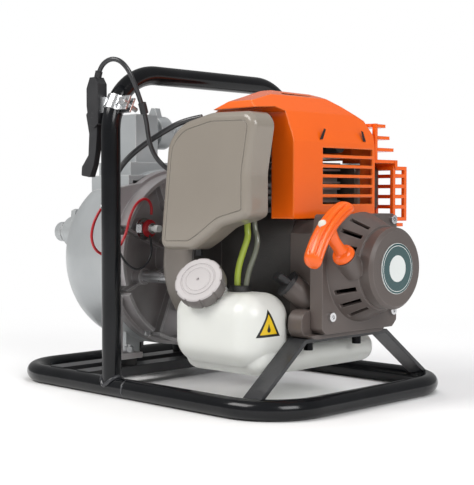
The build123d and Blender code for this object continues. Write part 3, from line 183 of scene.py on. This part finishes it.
def finish(name, colour, shade, rough, edge=None, radius=0.001, grain=900, depth=0.1, drift=18, metal=0.0,
           coat=0.0,
           spread=0.12):
    """Material with colour drifting towards shade, an edge colour for wear and painted highlight, and a
    drifting roughness.
    """
    paint = bpy.data.materials.new(name)
    paint.use_nodes = True
    tree = paint.node_tree
    shader = tree.nodes["Principled BSDF"]
    look = tree.nodes.new("ShaderNodeGroup")
    look.node_tree = surface
    look.name = "look"
    look.inputs["Edge Radius"].default_value = radius
    look.inputs["Grain Scale"].default_value = grain
    look.inputs["Grain Depth"].default_value = depth
    look.inputs["Drift Scale"].default_value = drift
    spots = tree.nodes.new("ShaderNodeMapRange")
    spots.inputs["From Min"].default_value = 0.35
    spots.inputs["From Max"].default_value = 0.65
    tree.links.new(look.outputs["Drift"], spots.inputs["Value"])
    body = tree.nodes.new("ShaderNodeMix")
    body.data_type = "RGBA"
    body.name = "body"
    body.inputs[6].default_value = (*colour, 1)
    body.inputs[7].default_value = (*shade, 1)
    tree.links.new(spots.outputs["Result"], body.inputs[0])
    rim = tree.nodes.new("ShaderNodeMix")
    rim.data_type = "RGBA"
    rim.name = "rim"
    tree.links.new(look.outputs["Edge"], rim.inputs[0])
    tree.links.new(body.outputs[2], rim.inputs[6])
    if edge is None:
        tree.links.new(body.outputs[2], rim.inputs[7])
    else:
        rim.inputs[7].default_value = (*edge, 1)
    tree.links.new(rim.outputs[2], shader.inputs["Base Color"])
    gloss = tree.nodes.new("ShaderNodeMapRange")
    gloss.inputs["To Min"].default_value = max(rough - spread, 0.03)
    gloss.inputs["To Max"].default_value = rough + spread
    tree.links.new(look.outputs["Drift"], gloss.inputs["Value"])
    tree.links.new(gloss.outputs["Result"], shader.inputs["Roughness"])
    tree.links.new(look.outputs["Normal"], shader.inputs["Normal"])
    shader.inputs["Metallic"].default_value = metal
    shader.inputs["Coat Weight"].default_value = coat
    shader.inputs["Coat Roughness"].default_value = 0.06
    return paint


def coat_node(paint, *names):
    """Put one material on CAD nodes that keep their own shape."""
    for each in names:
        for part_slot in nodes[each].material_slots:
            part_slot.material = paint


enamel = finish("black_enamel", (0.003, 0.0035, 0.0045), (0.006, 0.0065, 0.008), 0.17, radius=0.0012,
                grain=260,
                depth=0.12, drift=30, coat=0.1, spread=0.06)
enamel.node_tree.nodes["Principled BSDF"].inputs["Specular IOR Level"].default_value = 0.3
coat_node(enamel, "base_loop_rear", "base_loop_front", "handle_hoop")
strip_paint = finish("bracket_paint", (0.016, 0.017, 0.02), (0.03, 0.03, 0.033), 0.36, radius=0.0015,
                     grain=300,
                     depth=0.3, drift=24, coat=0.2)
coat_node(strip_paint, "engine_bridge_bracket", "pump_cross_bars")


def smooth_piece(name, mesh_shape, paint, body, creases=40):
    """Object from a finished bmesh, smooth between its creases, riding on a body if one is named."""
    mesh = bpy.data.meshes.new(name)
    bmesh.ops.recalc_face_normals(mesh_shape, faces=mesh_shape.faces)
    mesh_shape.to_mesh(mesh)
    mesh_shape.free()
    mesh.shade_smooth()
    mesh.set_sharp_from_angle(angle=math.radians(creases))
    mesh.materials.append(paint)
    piece = bpy.data.objects.new(name, mesh)
    bpy.context.scene.collection.objects.link(piece)
    if body:
        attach(piece, body)
    return piece


def run_line(name, points, radius, paint, body, closed=False):
    """Round line on a smooth spline through the given points."""
    curve = bpy.data.curves.new(name, "CURVE")
    curve.dimensions = "3D"
    curve.bevel_depth = radius
    curve.bevel_resolution = 5
    curve.use_fill_caps = not closed
    spline = curve.splines.new("NURBS")
    spline.points.add(len(points) - 1)
    for knot, spot in zip(spline.points, points):
        knot.co = (*spot, 1)
    spline.use_cyclic_u = closed
    spline.order_u = 3
    spline.use_endpoint_u = not closed
    spline.resolution_u = 8
    curve.materials.append(paint)
    piece = bpy.data.objects.new(name, curve)
    bpy.context.scene.collection.objects.link(piece)
    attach(piece, body)
    return piece


# Weld beads: rippled steel rings where the hoop's legs and the bridge's feet meet the loop.
bead = finish("weld_bead", (0.02, 0.022, 0.026), (0.05, 0.05, 0.055), 0.3, radius=0.0006, grain=420,
              depth=0.9,
              drift=160, coat=0.4)
LEG_Y = 0.138
TUBE_RADIUS = 0.0105
for side in (-1, 1):
    ring = []
    for step in range(32):
        turn = step * math.tau / 32
        across, along = 0.0104 * math.cos(turn), 0.0104 * math.sin(turn)
        swell = 0.0003 * math.sin(step * 2.1)
        ring.append((-0.017 + across, side * LEG_Y + along,
                     0.0104 + swell + math.sqrt(max(0, TUBE_RADIUS**2 - along**2))))
    run_line(f"hoop_weld_{'left' if side < 0 else 'right'}", ring, 0.0021, bead, "machine", closed=True)
    seam = []
    for step in range(24):
        turn = step * math.tau / 24
        seam.append((0.0095 + 0.0004 * math.sin(step * 1.7), side * LEG_Y + 0.0099 * math.cos(turn),
                     0.0101 + 0.0088 * math.sin(turn)))
    run_line(f"loop_weld_{'left' if side < 0 else 'right'}", seam, 0.0011, bead, "machine", closed=True)

# ---------------------------------------------------------------- pump
# Die-cast aluminium shells in silver paint; the casting skin shows as a fine orange peel.
# The back plate's darker, pinker silver is painted shade and a painted reflection; the mounting bolts are
# blacked where they hold the bridge.
silver = finish("silver_casting", (0.46, 0.48, 0.485), (0.39, 0.41, 0.42), 0.34, edge=(0.7, 0.71, 0.71),
                radius=0.002,
                grain=700, depth=0.35, drift=14, metal=0.25, coat=0.1)
coat_node(silver, "pump_front_cover", "inlet_hose_tail", "outlet_hose_tail", "inlet_union_nut",
          "outlet_union_nut")
# Back plate: a darker, pinker copy of the silver, standing for painted shade and a painted reflection.
shaded_plate_silver = finish("silver_plate_shaded", (0.44, 0.43, 0.435), (0.30, 0.27, 0.275), 0.36, edge=(0.6, 0.6, 0.6),
                      radius=0.0015, grain=700, depth=0.3, drift=12, metal=0.4)
coat_node(shaded_plate_silver, "pump_back_plate")
cast_metal = finish("bare_casting", (0.5, 0.5, 0.5), (0.4, 0.4, 0.4), 0.4, radius=0.001, metal=0.8)
coat_node(cast_metal, "volute_casing", "impeller", "flywheel")
rubber = finish("black_rubber", (0.014, 0.014, 0.015), (0.022, 0.022, 0.022), 0.55, radius=0.0008, grain=1500,
                depth=0.25, drift=40)
coat_node(rubber, "pump_gasket", "rubber_mounts", "check_valve_flap", "primer_bulb", "ht_lead")
zinc = finish("zinc_plate", (0.62, 0.63, 0.64), (0.5, 0.51, 0.52), 0.28, edge=(0.8, 0.8, 0.8), radius=0.0006,
              grain=1200, depth=0.2, drift=60, metal=0.9)
bolt_paint = finish("mount_bolt_steel", (0.62, 0.63, 0.64), (0.5, 0.51, 0.52), 0.28, edge=(0.8, 0.8, 0.8),
                    radius=0.0006, grain=1200, depth=0.2, drift=60, metal=0.9)
bolt_tree = bolt_paint.node_tree
bolt_place = bolt_tree.nodes.new("ShaderNodeTexCoord")
bolt_axes = bolt_tree.nodes.new("ShaderNodeSeparateXYZ")
at_bridge = bolt_tree.nodes.new("ShaderNodeMath")
at_bridge.operation = "GREATER_THAN"
at_bridge.inputs[1].default_value = 0.1
blacked = bolt_tree.nodes.new("ShaderNodeMix")
blacked.data_type = "RGBA"
blacked.inputs[7].default_value = (0.008, 0.008, 0.009, 1)
bolt_tree.links.new(bolt_place.outputs["Object"], bolt_axes.inputs[0])
bolt_tree.links.new(bolt_axes.outputs["X"], at_bridge.inputs[0])
bolt_tree.links.new(at_bridge.outputs[0], blacked.inputs[0])
bolt_tree.links.new(bolt_tree.nodes["rim"].outputs[2], blacked.inputs[6])
bolt_tree.links.new(blacked.outputs[2], bolt_tree.nodes["Principled BSDF"].inputs["Base Color"])
coat_node(bolt_paint, "mount_bolts")
coat_node(zinc, "pump_bolts", "spacer_tubes", "band_clamp", "throttle_arm", "spark_plug")
dark_plastic = finish("black_plastic", (0.015, 0.015, 0.017), (0.024, 0.024, 0.026), 0.42, radius=0.0008,
                      grain=1400, depth=0.3, drift=40)
coat_node(dark_plastic, "priming_plug", "drain_plug", "ignition_coil", "oil_cap", "air_filter_base",
          "choke_lever",
          "recoil_reel")
steel = finish("machined_steel", (0.4, 0.4, 0.41), (0.3, 0.3, 0.31), 0.3, radius=0.0006, metal=0.95)
coat_node(steel, "crankshaft", "crank_bearings", "mechanical_seal")

# ---------------------------------------------------------------- engine
# Black cast crankcase, beige fan cover, bright finned cylinder and a heat-stained muffler.
# The starter end is moulded in dark grey and held by plated screws.
# The crankcase's lighter edge colour is a painted highlight along its edges.
coat_node(finish("crankcase_paint", (0.05, 0.047, 0.045), (0.07, 0.065, 0.062), 0.4, edge=(0.13, 0.12, 0.115),
                 radius=0.0015, grain=600,
                 depth=0.5, drift=20), "crankcase", "rocker_cover", "carburettor")
coat_node(finish("cooling_beige", (0.23, 0.205, 0.185), (0.19, 0.17, 0.15), 0.4, radius=0.0015, grain=1000,
                 depth=0.2),
          "fan_cover")
coat_node(finish("bright_alloy", (0.55, 0.55, 0.55), (0.42, 0.41, 0.4), 0.38, radius=0.0008, metal=0.85),
          "cylinder",
          "piston")
coat_node(finish("heated_steel", (0.20, 0.17, 0.14), (0.09, 0.085, 0.08), 0.4, radius=0.003, grain=500,
                 depth=0.3,
                 drift=25, metal=0.9), "muffler")
starter_grey = finish("starter_grey", (0.105, 0.085, 0.077), (0.09, 0.073, 0.067), 0.4,
                      edge=(0.17, 0.145, 0.135),
                      radius=0.0015, grain=1100, depth=0.25, drift=16)
coat_node(starter_grey, "rear_case", "recoil_housing")
chrome = finish("chrome", (0.75, 0.75, 0.76), (0.66, 0.66, 0.67), 0.14, radius=0.0006, grain=900, depth=0.05,
                drift=40, metal=1.0, spread=0.05)
coat_node(chrome, "recoil_screws", "stop_switch")

# ---------------------------------------------------------------- hood and guard
# Injection moulded in glossy orange; the guard is a second moulding with rod-like bars.
# Two dark slips show the small pockets under the hood's top edge.
orange = finish("hood_orange", (0.90, 0.135, 0.006), (0.86, 0.122, 0.005), 0.22, edge=(0.97, 0.2, 0.02),
                radius=0.0025,
                grain=500, depth=0.05, drift=9, coat=0.25, spread=0.05)
coat_node(orange, "engine_shroud")
guard_orange = finish("guard_orange", (0.90, 0.130, 0.006), (0.86, 0.12, 0.005), 0.27, radius=0.0015,
                      grain=500,
                      depth=0.06, drift=9, coat=0.2, spread=0.06)
coat_node(guard_orange, "muffler_guard", "recoil_handle")

shadow_black = finish("pocket_shadow", (0.004, 0.004, 0.004), (0.006, 0.006, 0.006), 0.6, grain=600,
                      depth=0.1)
for label, across in (("left", -0.024), ("right", 0.039)):
    pocket_shape = bmesh.new()
    lean = 0.0025 if across < 0 else -0.0025
    low = [pocket_shape.verts.new((0.17125, across + y + lean * z / 0.0055, 0.2675 + z))
           for y, z in ((-0.0022, -0.0055), (0.0022, -0.0055), (0.0022, 0.0045), (-0.0012, 0.0055))]
    pocket_shape.faces.new(low)
    pocket = smooth_piece("hood_pocket_" + label, pocket_shape, shadow_black, "machine")

# ---------------------------------------------------------------- air and fuel
# The air cleaner's cover is a glossy taupe moulding with soft corners and a fine inset line.
# It is drawn as rings that step inwards round the front edge, from the seam to the flat face.
taupe = finish("cleaner_taupe", (0.262, 0.232, 0.195), (0.245, 0.216, 0.182), 0.3, edge=(0.34, 0.31, 0.27),
               radius=0.0008, grain=700, depth=0.1, drift=10, coat=0.3, spread=0.07)


def rounded_ring(outline, radii, inset, steps=6):
    """Outline with its corners turned into arcs, drawn in by inset, always with the same point count."""
    count = len(outline)
    area = sum(outline[i - 1][0] * outline[i][1] - outline[i][0] * outline[i - 1][1] for i in range(count))
    hand = 1 if area > 0 else -1
    ring = []
    for index, radius in enumerate(radii):
        corner = Vector(outline[index])
        come = (corner - Vector(outline[index - 1])).normalized()
        go = (Vector(outline[(index + 1) % count]) - corner).normalized()
        inward_come = Vector((-come.y, come.x)) * hand
        inward_go = Vector((-go.y, go.x)) * hand
        convex = (come.x * go.y - come.y * go.x) * hand > 0
        bend = max(radius - inset, 0.0002) if convex else radius + inset
        bisector = (inward_come + inward_go) / (1 + inward_come.dot(inward_go))
        sign = 1 if convex else -1
        centre = corner + bisector * (inset + sign * bend)
        first = math.atan2(-inward_come.y * sign, -inward_come.x * sign)
        last = math.atan2(-inward_go.y * sign, -inward_go.x * sign)
        sweep = (last - first + math.pi) % math.tau - math.pi
        for step in range(steps + 1):
            angle = first + sweep * step / steps
            ring.append((centre.x + bend * math.cos(angle), centre.y + bend * math.sin(angle)))
    return ring


def skin(rings):
    """Bmesh that joins rings of equal point count in turn, with a flat cap on the first and the last."""
    shell = bmesh.new()
    loops = [[shell.verts.new(point) for point in ring] for ring in rings]
    for lower, upper in zip(loops, loops[1:]):
        for index in range(len(lower)):
            shell.faces.new((lower[index - 1], lower[index], upper[index], upper[index - 1]))
    shell.faces.new(loops[0])
    shell.faces.new(loops[-1])
    return shell


outline = [(x / 1000, z / 1000) for x, z in (
    (36, 160), (48, 262), (70, 279), (110, 287), (160, 286), (170, 276), (161, 228), (161, 188), (152, 184),
    (122, 177), (98, 162), (82, 153.5), (42, 152.5))]
corner_radii = [size / 1000 for size in (10, 28, 40, 60, 13, 12, 40, 7, 20, 40, 40, 20, 8)]
steps_in = [(0.0015, -0.0920), (0.0, -0.0926), (0.0, -0.1130)]
for step in range(1, 8):
    quarter = step * math.pi / 14
    steps_in.append((0.007 * (1 - math.cos(quarter)), -0.1130 - 0.007 * math.sin(quarter)))
steps_in += [(0.0084, -0.1200), (0.0087, -0.1193), (0.0092, -0.1193), (0.0095, -0.1200)]
line_radii = [size / 1000 for size in (11, 34, 44, 60, 14.5, 15, 40, 10, 20, 40, 40, 28, 10)]
cover = skin([[(x, y, z) for x, z in rounded_ring(outline, line_radii if inset > 0.008 else corner_radii,
                                                  inset)]
              for inset, y in steps_in])
cleaner = smooth_piece("cleaner_cover_shell", cover, taupe, "cleaner_cover", creases=35)
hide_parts("air_filter_cover")
coat_node(finish("pleated_paper", (0.7, 0.6, 0.4), (0.6, 0.5, 0.33), 0.8, grain=300, depth=0.6),
          "air_filter_element")

# The tank is blown in natural polyethylene, milky and slightly green where it is thick.
tank_skin = finish("milky_tank", (0.80, 0.81, 0.765), (0.75, 0.765, 0.715), 0.28, edge=(0.84, 0.85, 0.81),
                   radius=0.002,
                   grain=120, depth=0.12, drift=10, spread=0.06)
tank_skin.node_tree.nodes["Principled BSDF"].inputs["Subsurface Weight"].default_value = 0.35
tank_skin.node_tree.nodes["Principled BSDF"].inputs["Subsurface Scale"].default_value = 0.01
tank_skin.node_tree.nodes["Principled BSDF"].inputs["Subsurface Radius"].default_value = (1.0, 1.0, 0.9)
coat_node(tank_skin, "fuel_tank")

# A yellow triangle with a black border and a plain black drop is printed on the tank's end.
mark = bpy.data.node_groups.new("triangle_mark", "ShaderNodeTree")
mark.interface.new_socket("Border", in_out="OUTPUT", socket_type="NodeSocketFloat")
mark.interface.new_socket("Inside", in_out="OUTPUT", socket_type="NodeSocketFloat")


def sum_node(operation, first, second):
    """Math node fed by sockets or plain values."""
    node = mark.nodes.new("ShaderNodeMath")
    node.operation = operation
    for port, feed in enumerate((first, second)):
        if isinstance(feed, (int, float)):
            node.inputs[port].default_value = feed
        else:
            mark.links.new(feed, node.inputs[port])
    return node.outputs[0]


mark_place = mark.nodes.new("ShaderNodeTexCoord")
mark_axes = mark.nodes.new("ShaderNodeSeparateXYZ")
mark.links.new(mark_place.outputs["Object"], mark_axes.inputs[0])
sideways = sum_node("ABSOLUTE", sum_node("SUBTRACT", mark_axes.outputs["Y"], -0.0955), 0)
upward = sum_node("SUBTRACT", mark_axes.outputs["Z"], 0.0815)
slope = sum_node("ADD", sum_node("MULTIPLY", sideways, 0.866), sum_node("MULTIPLY", upward, 0.5))
reach_out = sum_node("MAXIMUM", slope, sum_node("MULTIPLY", upward, -1))
on_end = sum_node("GREATER_THAN", mark_axes.outputs["X"], 0.14)
outer = sum_node("MULTIPLY", sum_node("LESS_THAN", reach_out, 0.0088), on_end)
inner = sum_node("MULTIPLY", sum_node("LESS_THAN", reach_out, 0.0064), on_end)
drop_height = sum_node("ADD", upward, 0.0022)
bulb = sum_node("LESS_THAN", sum_node("ADD", sum_node("POWER", sum_node("MULTIPLY", sideways, 1000), 2),
                                      sum_node("POWER", sum_node("MULTIPLY", drop_height, 1000), 2)), 5.3)
tip = sum_node("LESS_THAN", sum_node("ADD", sum_node("MULTIPLY", sideways, 480),
                                     sum_node("MULTIPLY", drop_height, 155)), 1)
tip = sum_node("MULTIPLY", tip, sum_node("GREATER_THAN", drop_height, 0))
inner = sum_node("MULTIPLY", inner, sum_node("SUBTRACT", 1, sum_node("MAXIMUM", bulb, tip)))
mark_out = mark.nodes.new("NodeGroupOutput")
mark.links.new(outer, mark_out.inputs["Border"])
mark.links.new(inner, mark_out.inputs["Inside"])
tank_tree = tank_skin.node_tree
printed = tank_tree.nodes.new("ShaderNodeGroup")
printed.node_tree = mark
last_colour = tank_tree.nodes["rim"].outputs[2]
for port, ink in (("Border", (0.01, 0.01, 0.01, 1)), ("Inside", (0.85, 0.55, 0.01, 1))):
    ink_mix = tank_tree.nodes.new("ShaderNodeMix")
    ink_mix.data_type = "RGBA"
    ink_mix.inputs[7].default_value = ink
    tank_tree.links.new(printed.outputs[port], ink_mix.inputs[0])
    tank_tree.links.new(last_colour, ink_mix.inputs[6])
    last_colour = ink_mix.outputs[2]
tank_tree.links.new(last_colour, tank_tree.nodes["Principled BSDF"].inputs["Base Color"])


# Fuel cap: stepped rings on top and ten small notches round the rim.
def turned(profile, centre, way, sides=72):
    """Bmesh turned from (radius, height) pairs, capped at both ends, and the matrix of its place."""
    shape = bmesh.new()
    points = [shape.verts.new((radius, 0, height)) for radius, height in profile]
    line = [shape.edges.new(pair) for pair in zip(points, points[1:])]
    bmesh.ops.spin(shape, geom=points + line, cent=(0, 0, 0), axis=(0, 0, 1), angle=math.tau, steps=sides,
                   use_merge=True)
    bmesh.ops.holes_fill(shape, edges=[edge for edge in shape.edges if edge.is_boundary], sides=0)
    axis = Vector(way).normalized()
    across = axis.cross(Vector((0, 0, 1))) if abs(axis.z) < 0.9 else axis.cross(Vector((1, 0, 0)))
    across.normalize()
    turn = Matrix((across, axis.cross(across), axis)).transposed().to_4x4()
    return shape, Matrix.Translation(centre) @ turn


def set_down(shape, place):
    """Move a finished bmesh from its own axis to its place on the machine."""
    bmesh.ops.transform(shape, matrix=place, verts=shape.verts)
    return shape


cap_top = finish("cap_top", (0.47, 0.445, 0.445), (0.43, 0.405, 0.405), 0.42, edge=(0.58, 0.55, 0.55),
                 radius=0.0006, grain=900, depth=0.2)
CAP_CENTRE = Vector((0.100, -0.126, 0.126))
CAP_WAY = Vector((0.29, -0.77, 0.57)).normalized()
cap_profile = [(radius / 1000, height / 1000) for radius, height in (
    (22.5, -15), (24.6, -14.2), (25, -13), (25, -2.6), (24.4, -0.9), (23, 0), (18.2, 0), (17.8, -0.7),
    (16.6, -0.7), (16.2, 0), (13.4, 0), (13.1, -0.4), (12.5, -0.4), (12.2, 0), (1.6, 0.3), (1.3, -1.2))]
cap_shape, cap_place = turned(cap_profile, CAP_CENTRE, CAP_WAY, sides=144)
for vert in cap_shape.verts:
    if vert.co.xy.length > 0.0243:
        bite = 1 - 0.05 * max(0, math.cos(10 * math.atan2(vert.co.y, vert.co.x))) ** 14
        vert.co.x *= bite
        vert.co.y *= bite
set_down(cap_shape, cap_place)
cap = smooth_piece("fuel_cap_shell", cap_shape, cap_top, "tank_cap", creases=30)
# The cap's sides take a darker copy of the top's grey: painted shade round the rim.
cap.data.materials.append(finish("cap_side_shade", (0.16, 0.145, 0.14), (0.13, 0.118, 0.113), 0.4, grain=900,
                                 depth=0.2))
for face in cap.data.polygons:
    from_top = Vector(face.center) - CAP_CENTRE
    on_side = from_top.dot(CAP_WAY) < -0.0012 and from_top.cross(CAP_WAY).length > 0.01
    face.material_index = 1 if on_side else 0
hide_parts("fuel_cap")

feed_green = finish("green_hose", (0.33, 0.42, 0.045), (0.28, 0.36, 0.04), 0.25, grain=900, depth=0.05,
                    coat=0.3)
feed_points = [(0.114, -0.086, 0.117), (0.114, -0.086, 0.132), (0.119, -0.084, 0.150), (0.124, -0.081, 0.166),
               (0.122, -0.080, 0.174), (0.122, -0.080, 0.183)]
run_line("feed_hose", feed_points, 0.0032, feed_green, "machine")
clear_hose = finish("clear_hose", (0.17, 0.18, 0.14), (0.13, 0.14, 0.11), 0.2, grain=900, depth=0.05,
                    coat=0.3)
return_points = [(0.121, -0.081, 0.117), (0.122, -0.079, 0.132), (0.128, -0.075, 0.150),
                 (0.129, -0.072, 0.164),
                 (0.122, -0.070, 0.174), (0.122, -0.070, 0.183)]
run_line("return_hose", return_points, 0.0028, clear_hose, "machine")
seal = bmesh.new()
bmesh.ops.create_cone(seal, cap_ends=True, segments=40, radius1=0.0118, radius2=0.0095, depth=0.006,
                      matrix=Matrix.Translation((0.117, -0.085, 0.1158)))
bmesh.ops.bevel(seal, geom=list(seal.edges), affect="EDGES", offset=0.0008, segments=2, profile=0.5,
                material=-1)
grommet = smooth_piece("tank_grommet", seal, rubber, "machine")
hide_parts("fuel_lines")

# ---------------------------------------------------------------- starter
# A bowed handle with grooves and the knot of a braided rope on its front.
# The rope's guide eye fixes the handle's place; the round badge on the cap carries no mark.
bar_way, pull_way, cross_way = Vector((0, 0.694, 0.72)), Vector((0, -0.72, 0.694)), Vector((1, 0, 0))
eye = Vector((0.222, -0.048, 0.1455))
middle = eye + pull_way * 0.044
BAR_HALF = 0.0395
BAR_WIDE, BAR_DEEP, RIB_DEPTH, RIB_COUNT = 0.0095, 0.0082, 0.0019, 8
bar_rings = []
for step in range(33):
    along = -1 + step / 16
    taper = math.sqrt(max(0.02, 1 - max(0, (abs(along) - 0.80) / 0.20) ** 2))
    heart = middle + bar_way * along * BAR_HALF - pull_way * 0.009 * along ** 2
    ring = []
    for side in range(96):
        angle = side * math.tau / 96
        rib = RIB_DEPTH * max(0, math.cos(RIB_COUNT * angle)) ** 3 if abs(along) < 0.8 else 0
        wide, deep = (BAR_WIDE - rib) * taper, (BAR_DEEP - rib) * taper
        ring.append(heart + cross_way * wide * math.cos(angle) + pull_way * deep * math.sin(angle))
    bar_rings.append(ring)
grip_bar = skin(bar_rings)
for profile in (((6.6e-3, 12e-3), (5.6e-3, 20e-3), (5.8e-3, 28e-3), (7.6e-3, 36e-3), (8.8e-3, 41e-3)),
                ((9.6e-3, 5.4e-3), (10.8e-3, 6.2e-3), (11e-3, 8e-3), (10.2e-3, 11e-3), (8.6e-3, 13.2e-3),
                 (6.2e-3, 13.6e-3))):
    extra = set_down(*turned(profile, eye, pull_way, sides=48))
    bits = bpy.data.meshes.new("bits")
    extra.to_mesh(bits)
    extra.free()
    grip_bar.from_mesh(bits)
    bpy.data.meshes.remove(bits)
pull_grip = smooth_piece("pull_grip", grip_bar, guard_orange, "pull", creases=50)
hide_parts("recoil_handle")
knot_shape = bmesh.new()
bmesh.ops.create_icosphere(knot_shape, subdivisions=3, radius=0.0046,
                           matrix=Matrix.Translation(middle + pull_way * 0.006))
rope_white = finish("braided_rope", (0.7, 0.68, 0.6), (0.6, 0.57, 0.5), 0.7, grain=900, depth=0.8)
knot = smooth_piece("rope_knot", knot_shape, rope_white, "pull")

teal = finish("badge_teal", (0.008, 0.052, 0.056), (0.010, 0.06, 0.064), 0.25, grain=900, depth=0.05,
              coat=0.4)
pale = finish("badge_pale", (0.72, 0.75, 0.74), (0.68, 0.71, 0.70), 0.3, grain=900, depth=0.05, coat=0.4)
CAP_FACE = Vector((0.2435, 0, 0.137))
BADGE_PROFILE = ((0.0245, 0.0), (0.0245, 0.0009), (0.0240, 0.0011), (0.0222, 0.0011), (0.0216, 0.0011),
                 (0.0128, 0.0011), (0.0124, 0.0011))
badge_shape = set_down(*turned(BADGE_PROFILE, CAP_FACE, (1, 0, 0), sides=96))
badge = smooth_piece("starter_badge", badge_shape, teal, "machine", creases=30)
badge.data.materials.append(pale)
for face in badge.data.polygons:
    reach = math.hypot(face.center.y, face.center.z - CAP_FACE.z)
    face.material_index = 1 if reach > 0.0242 or 0.0215 < reach < 0.0223 or reach < 0.0127 else 0

# The rope runs straight out of its guide to the handle.
ROPE_RADIUS = 0.002
rope_rings = []
for step in range(28):
    heart = eye + pull_way * (-0.036 + 0.003 * step)
    rope_rings.append([heart + cross_way * ROPE_RADIUS * math.cos(side * math.tau / 16)
                       + bar_way * ROPE_RADIUS * math.sin(side * math.tau / 16) for side in range(16)])
rope = smooth_piece("starter_rope", skin(rope_rings), rope_white, None)
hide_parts("recoil_rope")
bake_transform(rope)

# ---------------------------------------------------------------- hand controls
# Black nylon lever and housing on the hoop, with a sleeved cable over the top.
# The switch's leads run in a sleeve down the hoop; a red and a black lead hang loose below it.
coat_node(dark_plastic, "throttle_housing", "throttle_lever")
cable_points = [(-0.035, -0.140, 0.3297), (-0.033, -0.140, 0.335), (-0.026, -0.140, 0.343),
                (-0.014, -0.139, 0.347),
                (-0.003, -0.136, 0.344), (0.004, -0.131, 0.334), (0.0065, -0.125, 0.319),
                (0.007, -0.118, 0.303),
                (0.006, -0.110, 0.286), (0.002, -0.104, 0.270), (0, -0.098, 0.256), (0.002, -0.091, 0.244),
                (0.012, -0.084, 0.233), (0.030, -0.079, 0.229), (0.052, -0.076, 0.231),
                (0.072, -0.074, 0.237),
                (0.092, -0.072, 0.241), (0.108, -0.070, 0.243)]
sleeve_black = finish("cable_sleeve", (0.018, 0.019, 0.021), (0.03, 0.03, 0.033), 0.35, grain=700, depth=0.15,
                      coat=0.3)
cable = run_line("throttle_cable_line", cable_points, 0.0025, sleeve_black, "machine")
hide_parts("throttle_cable")

coat_node(finish("white_tip", (0.75, 0.76, 0.74), (0.68, 0.7, 0.68), 0.3, radius=0.0006), "stop_button")

loom_points = [(0.0435, -0.066, 0.288), (0.025, -0.075, 0.285), (0.002, -0.082, 0.274),
               (-0.016, -0.092, 0.262),
               (-0.030, -0.103, 0.248), (-0.036, -0.116, 0.230), (-0.037, -0.121, 0.206),
               (-0.037, -0.122, 0.184)]
red_points = [(-0.0475, -0.0565, 0.1865), (-0.045, -0.057, 0.196), (-0.045, -0.066, 0.205),
              (-0.044, -0.080, 0.200),
              (-0.043, -0.091, 0.185), (-0.043, -0.096, 0.166), (-0.043, -0.107, 0.150),
              (-0.044, -0.121, 0.143),
              (-0.047, -0.134, 0.148), (-0.049, -0.139, 0.161), (-0.049, -0.137, 0.174),
              (-0.048, -0.132, 0.186),
              (-0.047, -0.127, 0.193)]
earth_points = [(-0.044, -0.062, 0.164), (-0.041, -0.060, 0.150), (-0.040, -0.068, 0.133),
                (-0.040, -0.083, 0.126),
                (-0.040, -0.098, 0.133), (-0.039, -0.110, 0.148), (-0.038, -0.119, 0.166)]
loom = run_line("loom_sleeve", loom_points, 0.003, sleeve_black, "machine")
red_skin = finish("red_lead", (0.5, 0.012, 0.02), (0.42, 0.01, 0.018), 0.35, grain=900, depth=0.1)
run_line("red_lead", red_points, 0.0015, red_skin, "machine")
run_line("earth_lead", earth_points, 0.0012, sleeve_black, "machine")
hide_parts("switch_wires")

# The switch carries a red washer, a plated bullet ends the loose leads, and a clip holds the cable.
WASHER_PROFILE = ((6e-3, 0), (9.4e-3, 0), (9.8e-3, 0.5e-3), (9.8e-3, 1.7e-3), (9.3e-3, 2.2e-3),
                  (6e-3, 2.2e-3))
red_ring = set_down(*turned(WASHER_PROFILE, (-0.0505, -0.0575, 0.171), (1, 0, 0), sides=48))
smooth_piece("switch_washer", red_ring, red_skin, "machine")
BULLET_PROFILE = ((1.6e-3, 0), (2.4e-3, 0.4e-3), (2.4e-3, 9e-3), (1.7e-3, 9.8e-3), (1.7e-3, 13e-3),
                  (1.2e-3, 13.6e-3))
plug_shape = set_down(*turned(BULLET_PROFILE, (-0.0468, -0.1262, 0.194), (0, 0.33, 0.94), sides=32))
smooth_piece("bullet_connector", plug_shape, zinc, "machine")
CLIP_PROFILE = ((3.1e-3, -6e-3), (4.2e-3, -5.4e-3), (4.2e-3, 5.4e-3), (3.1e-3, 6e-3))
clip_shape = set_down(*turned(CLIP_PROFILE, (0.0068, -0.1145, 0.2965), (0.03, -0.34, 0.94), sides=32))
smooth_piece("cable_clip", clip_shape, dark_plastic, "machine")
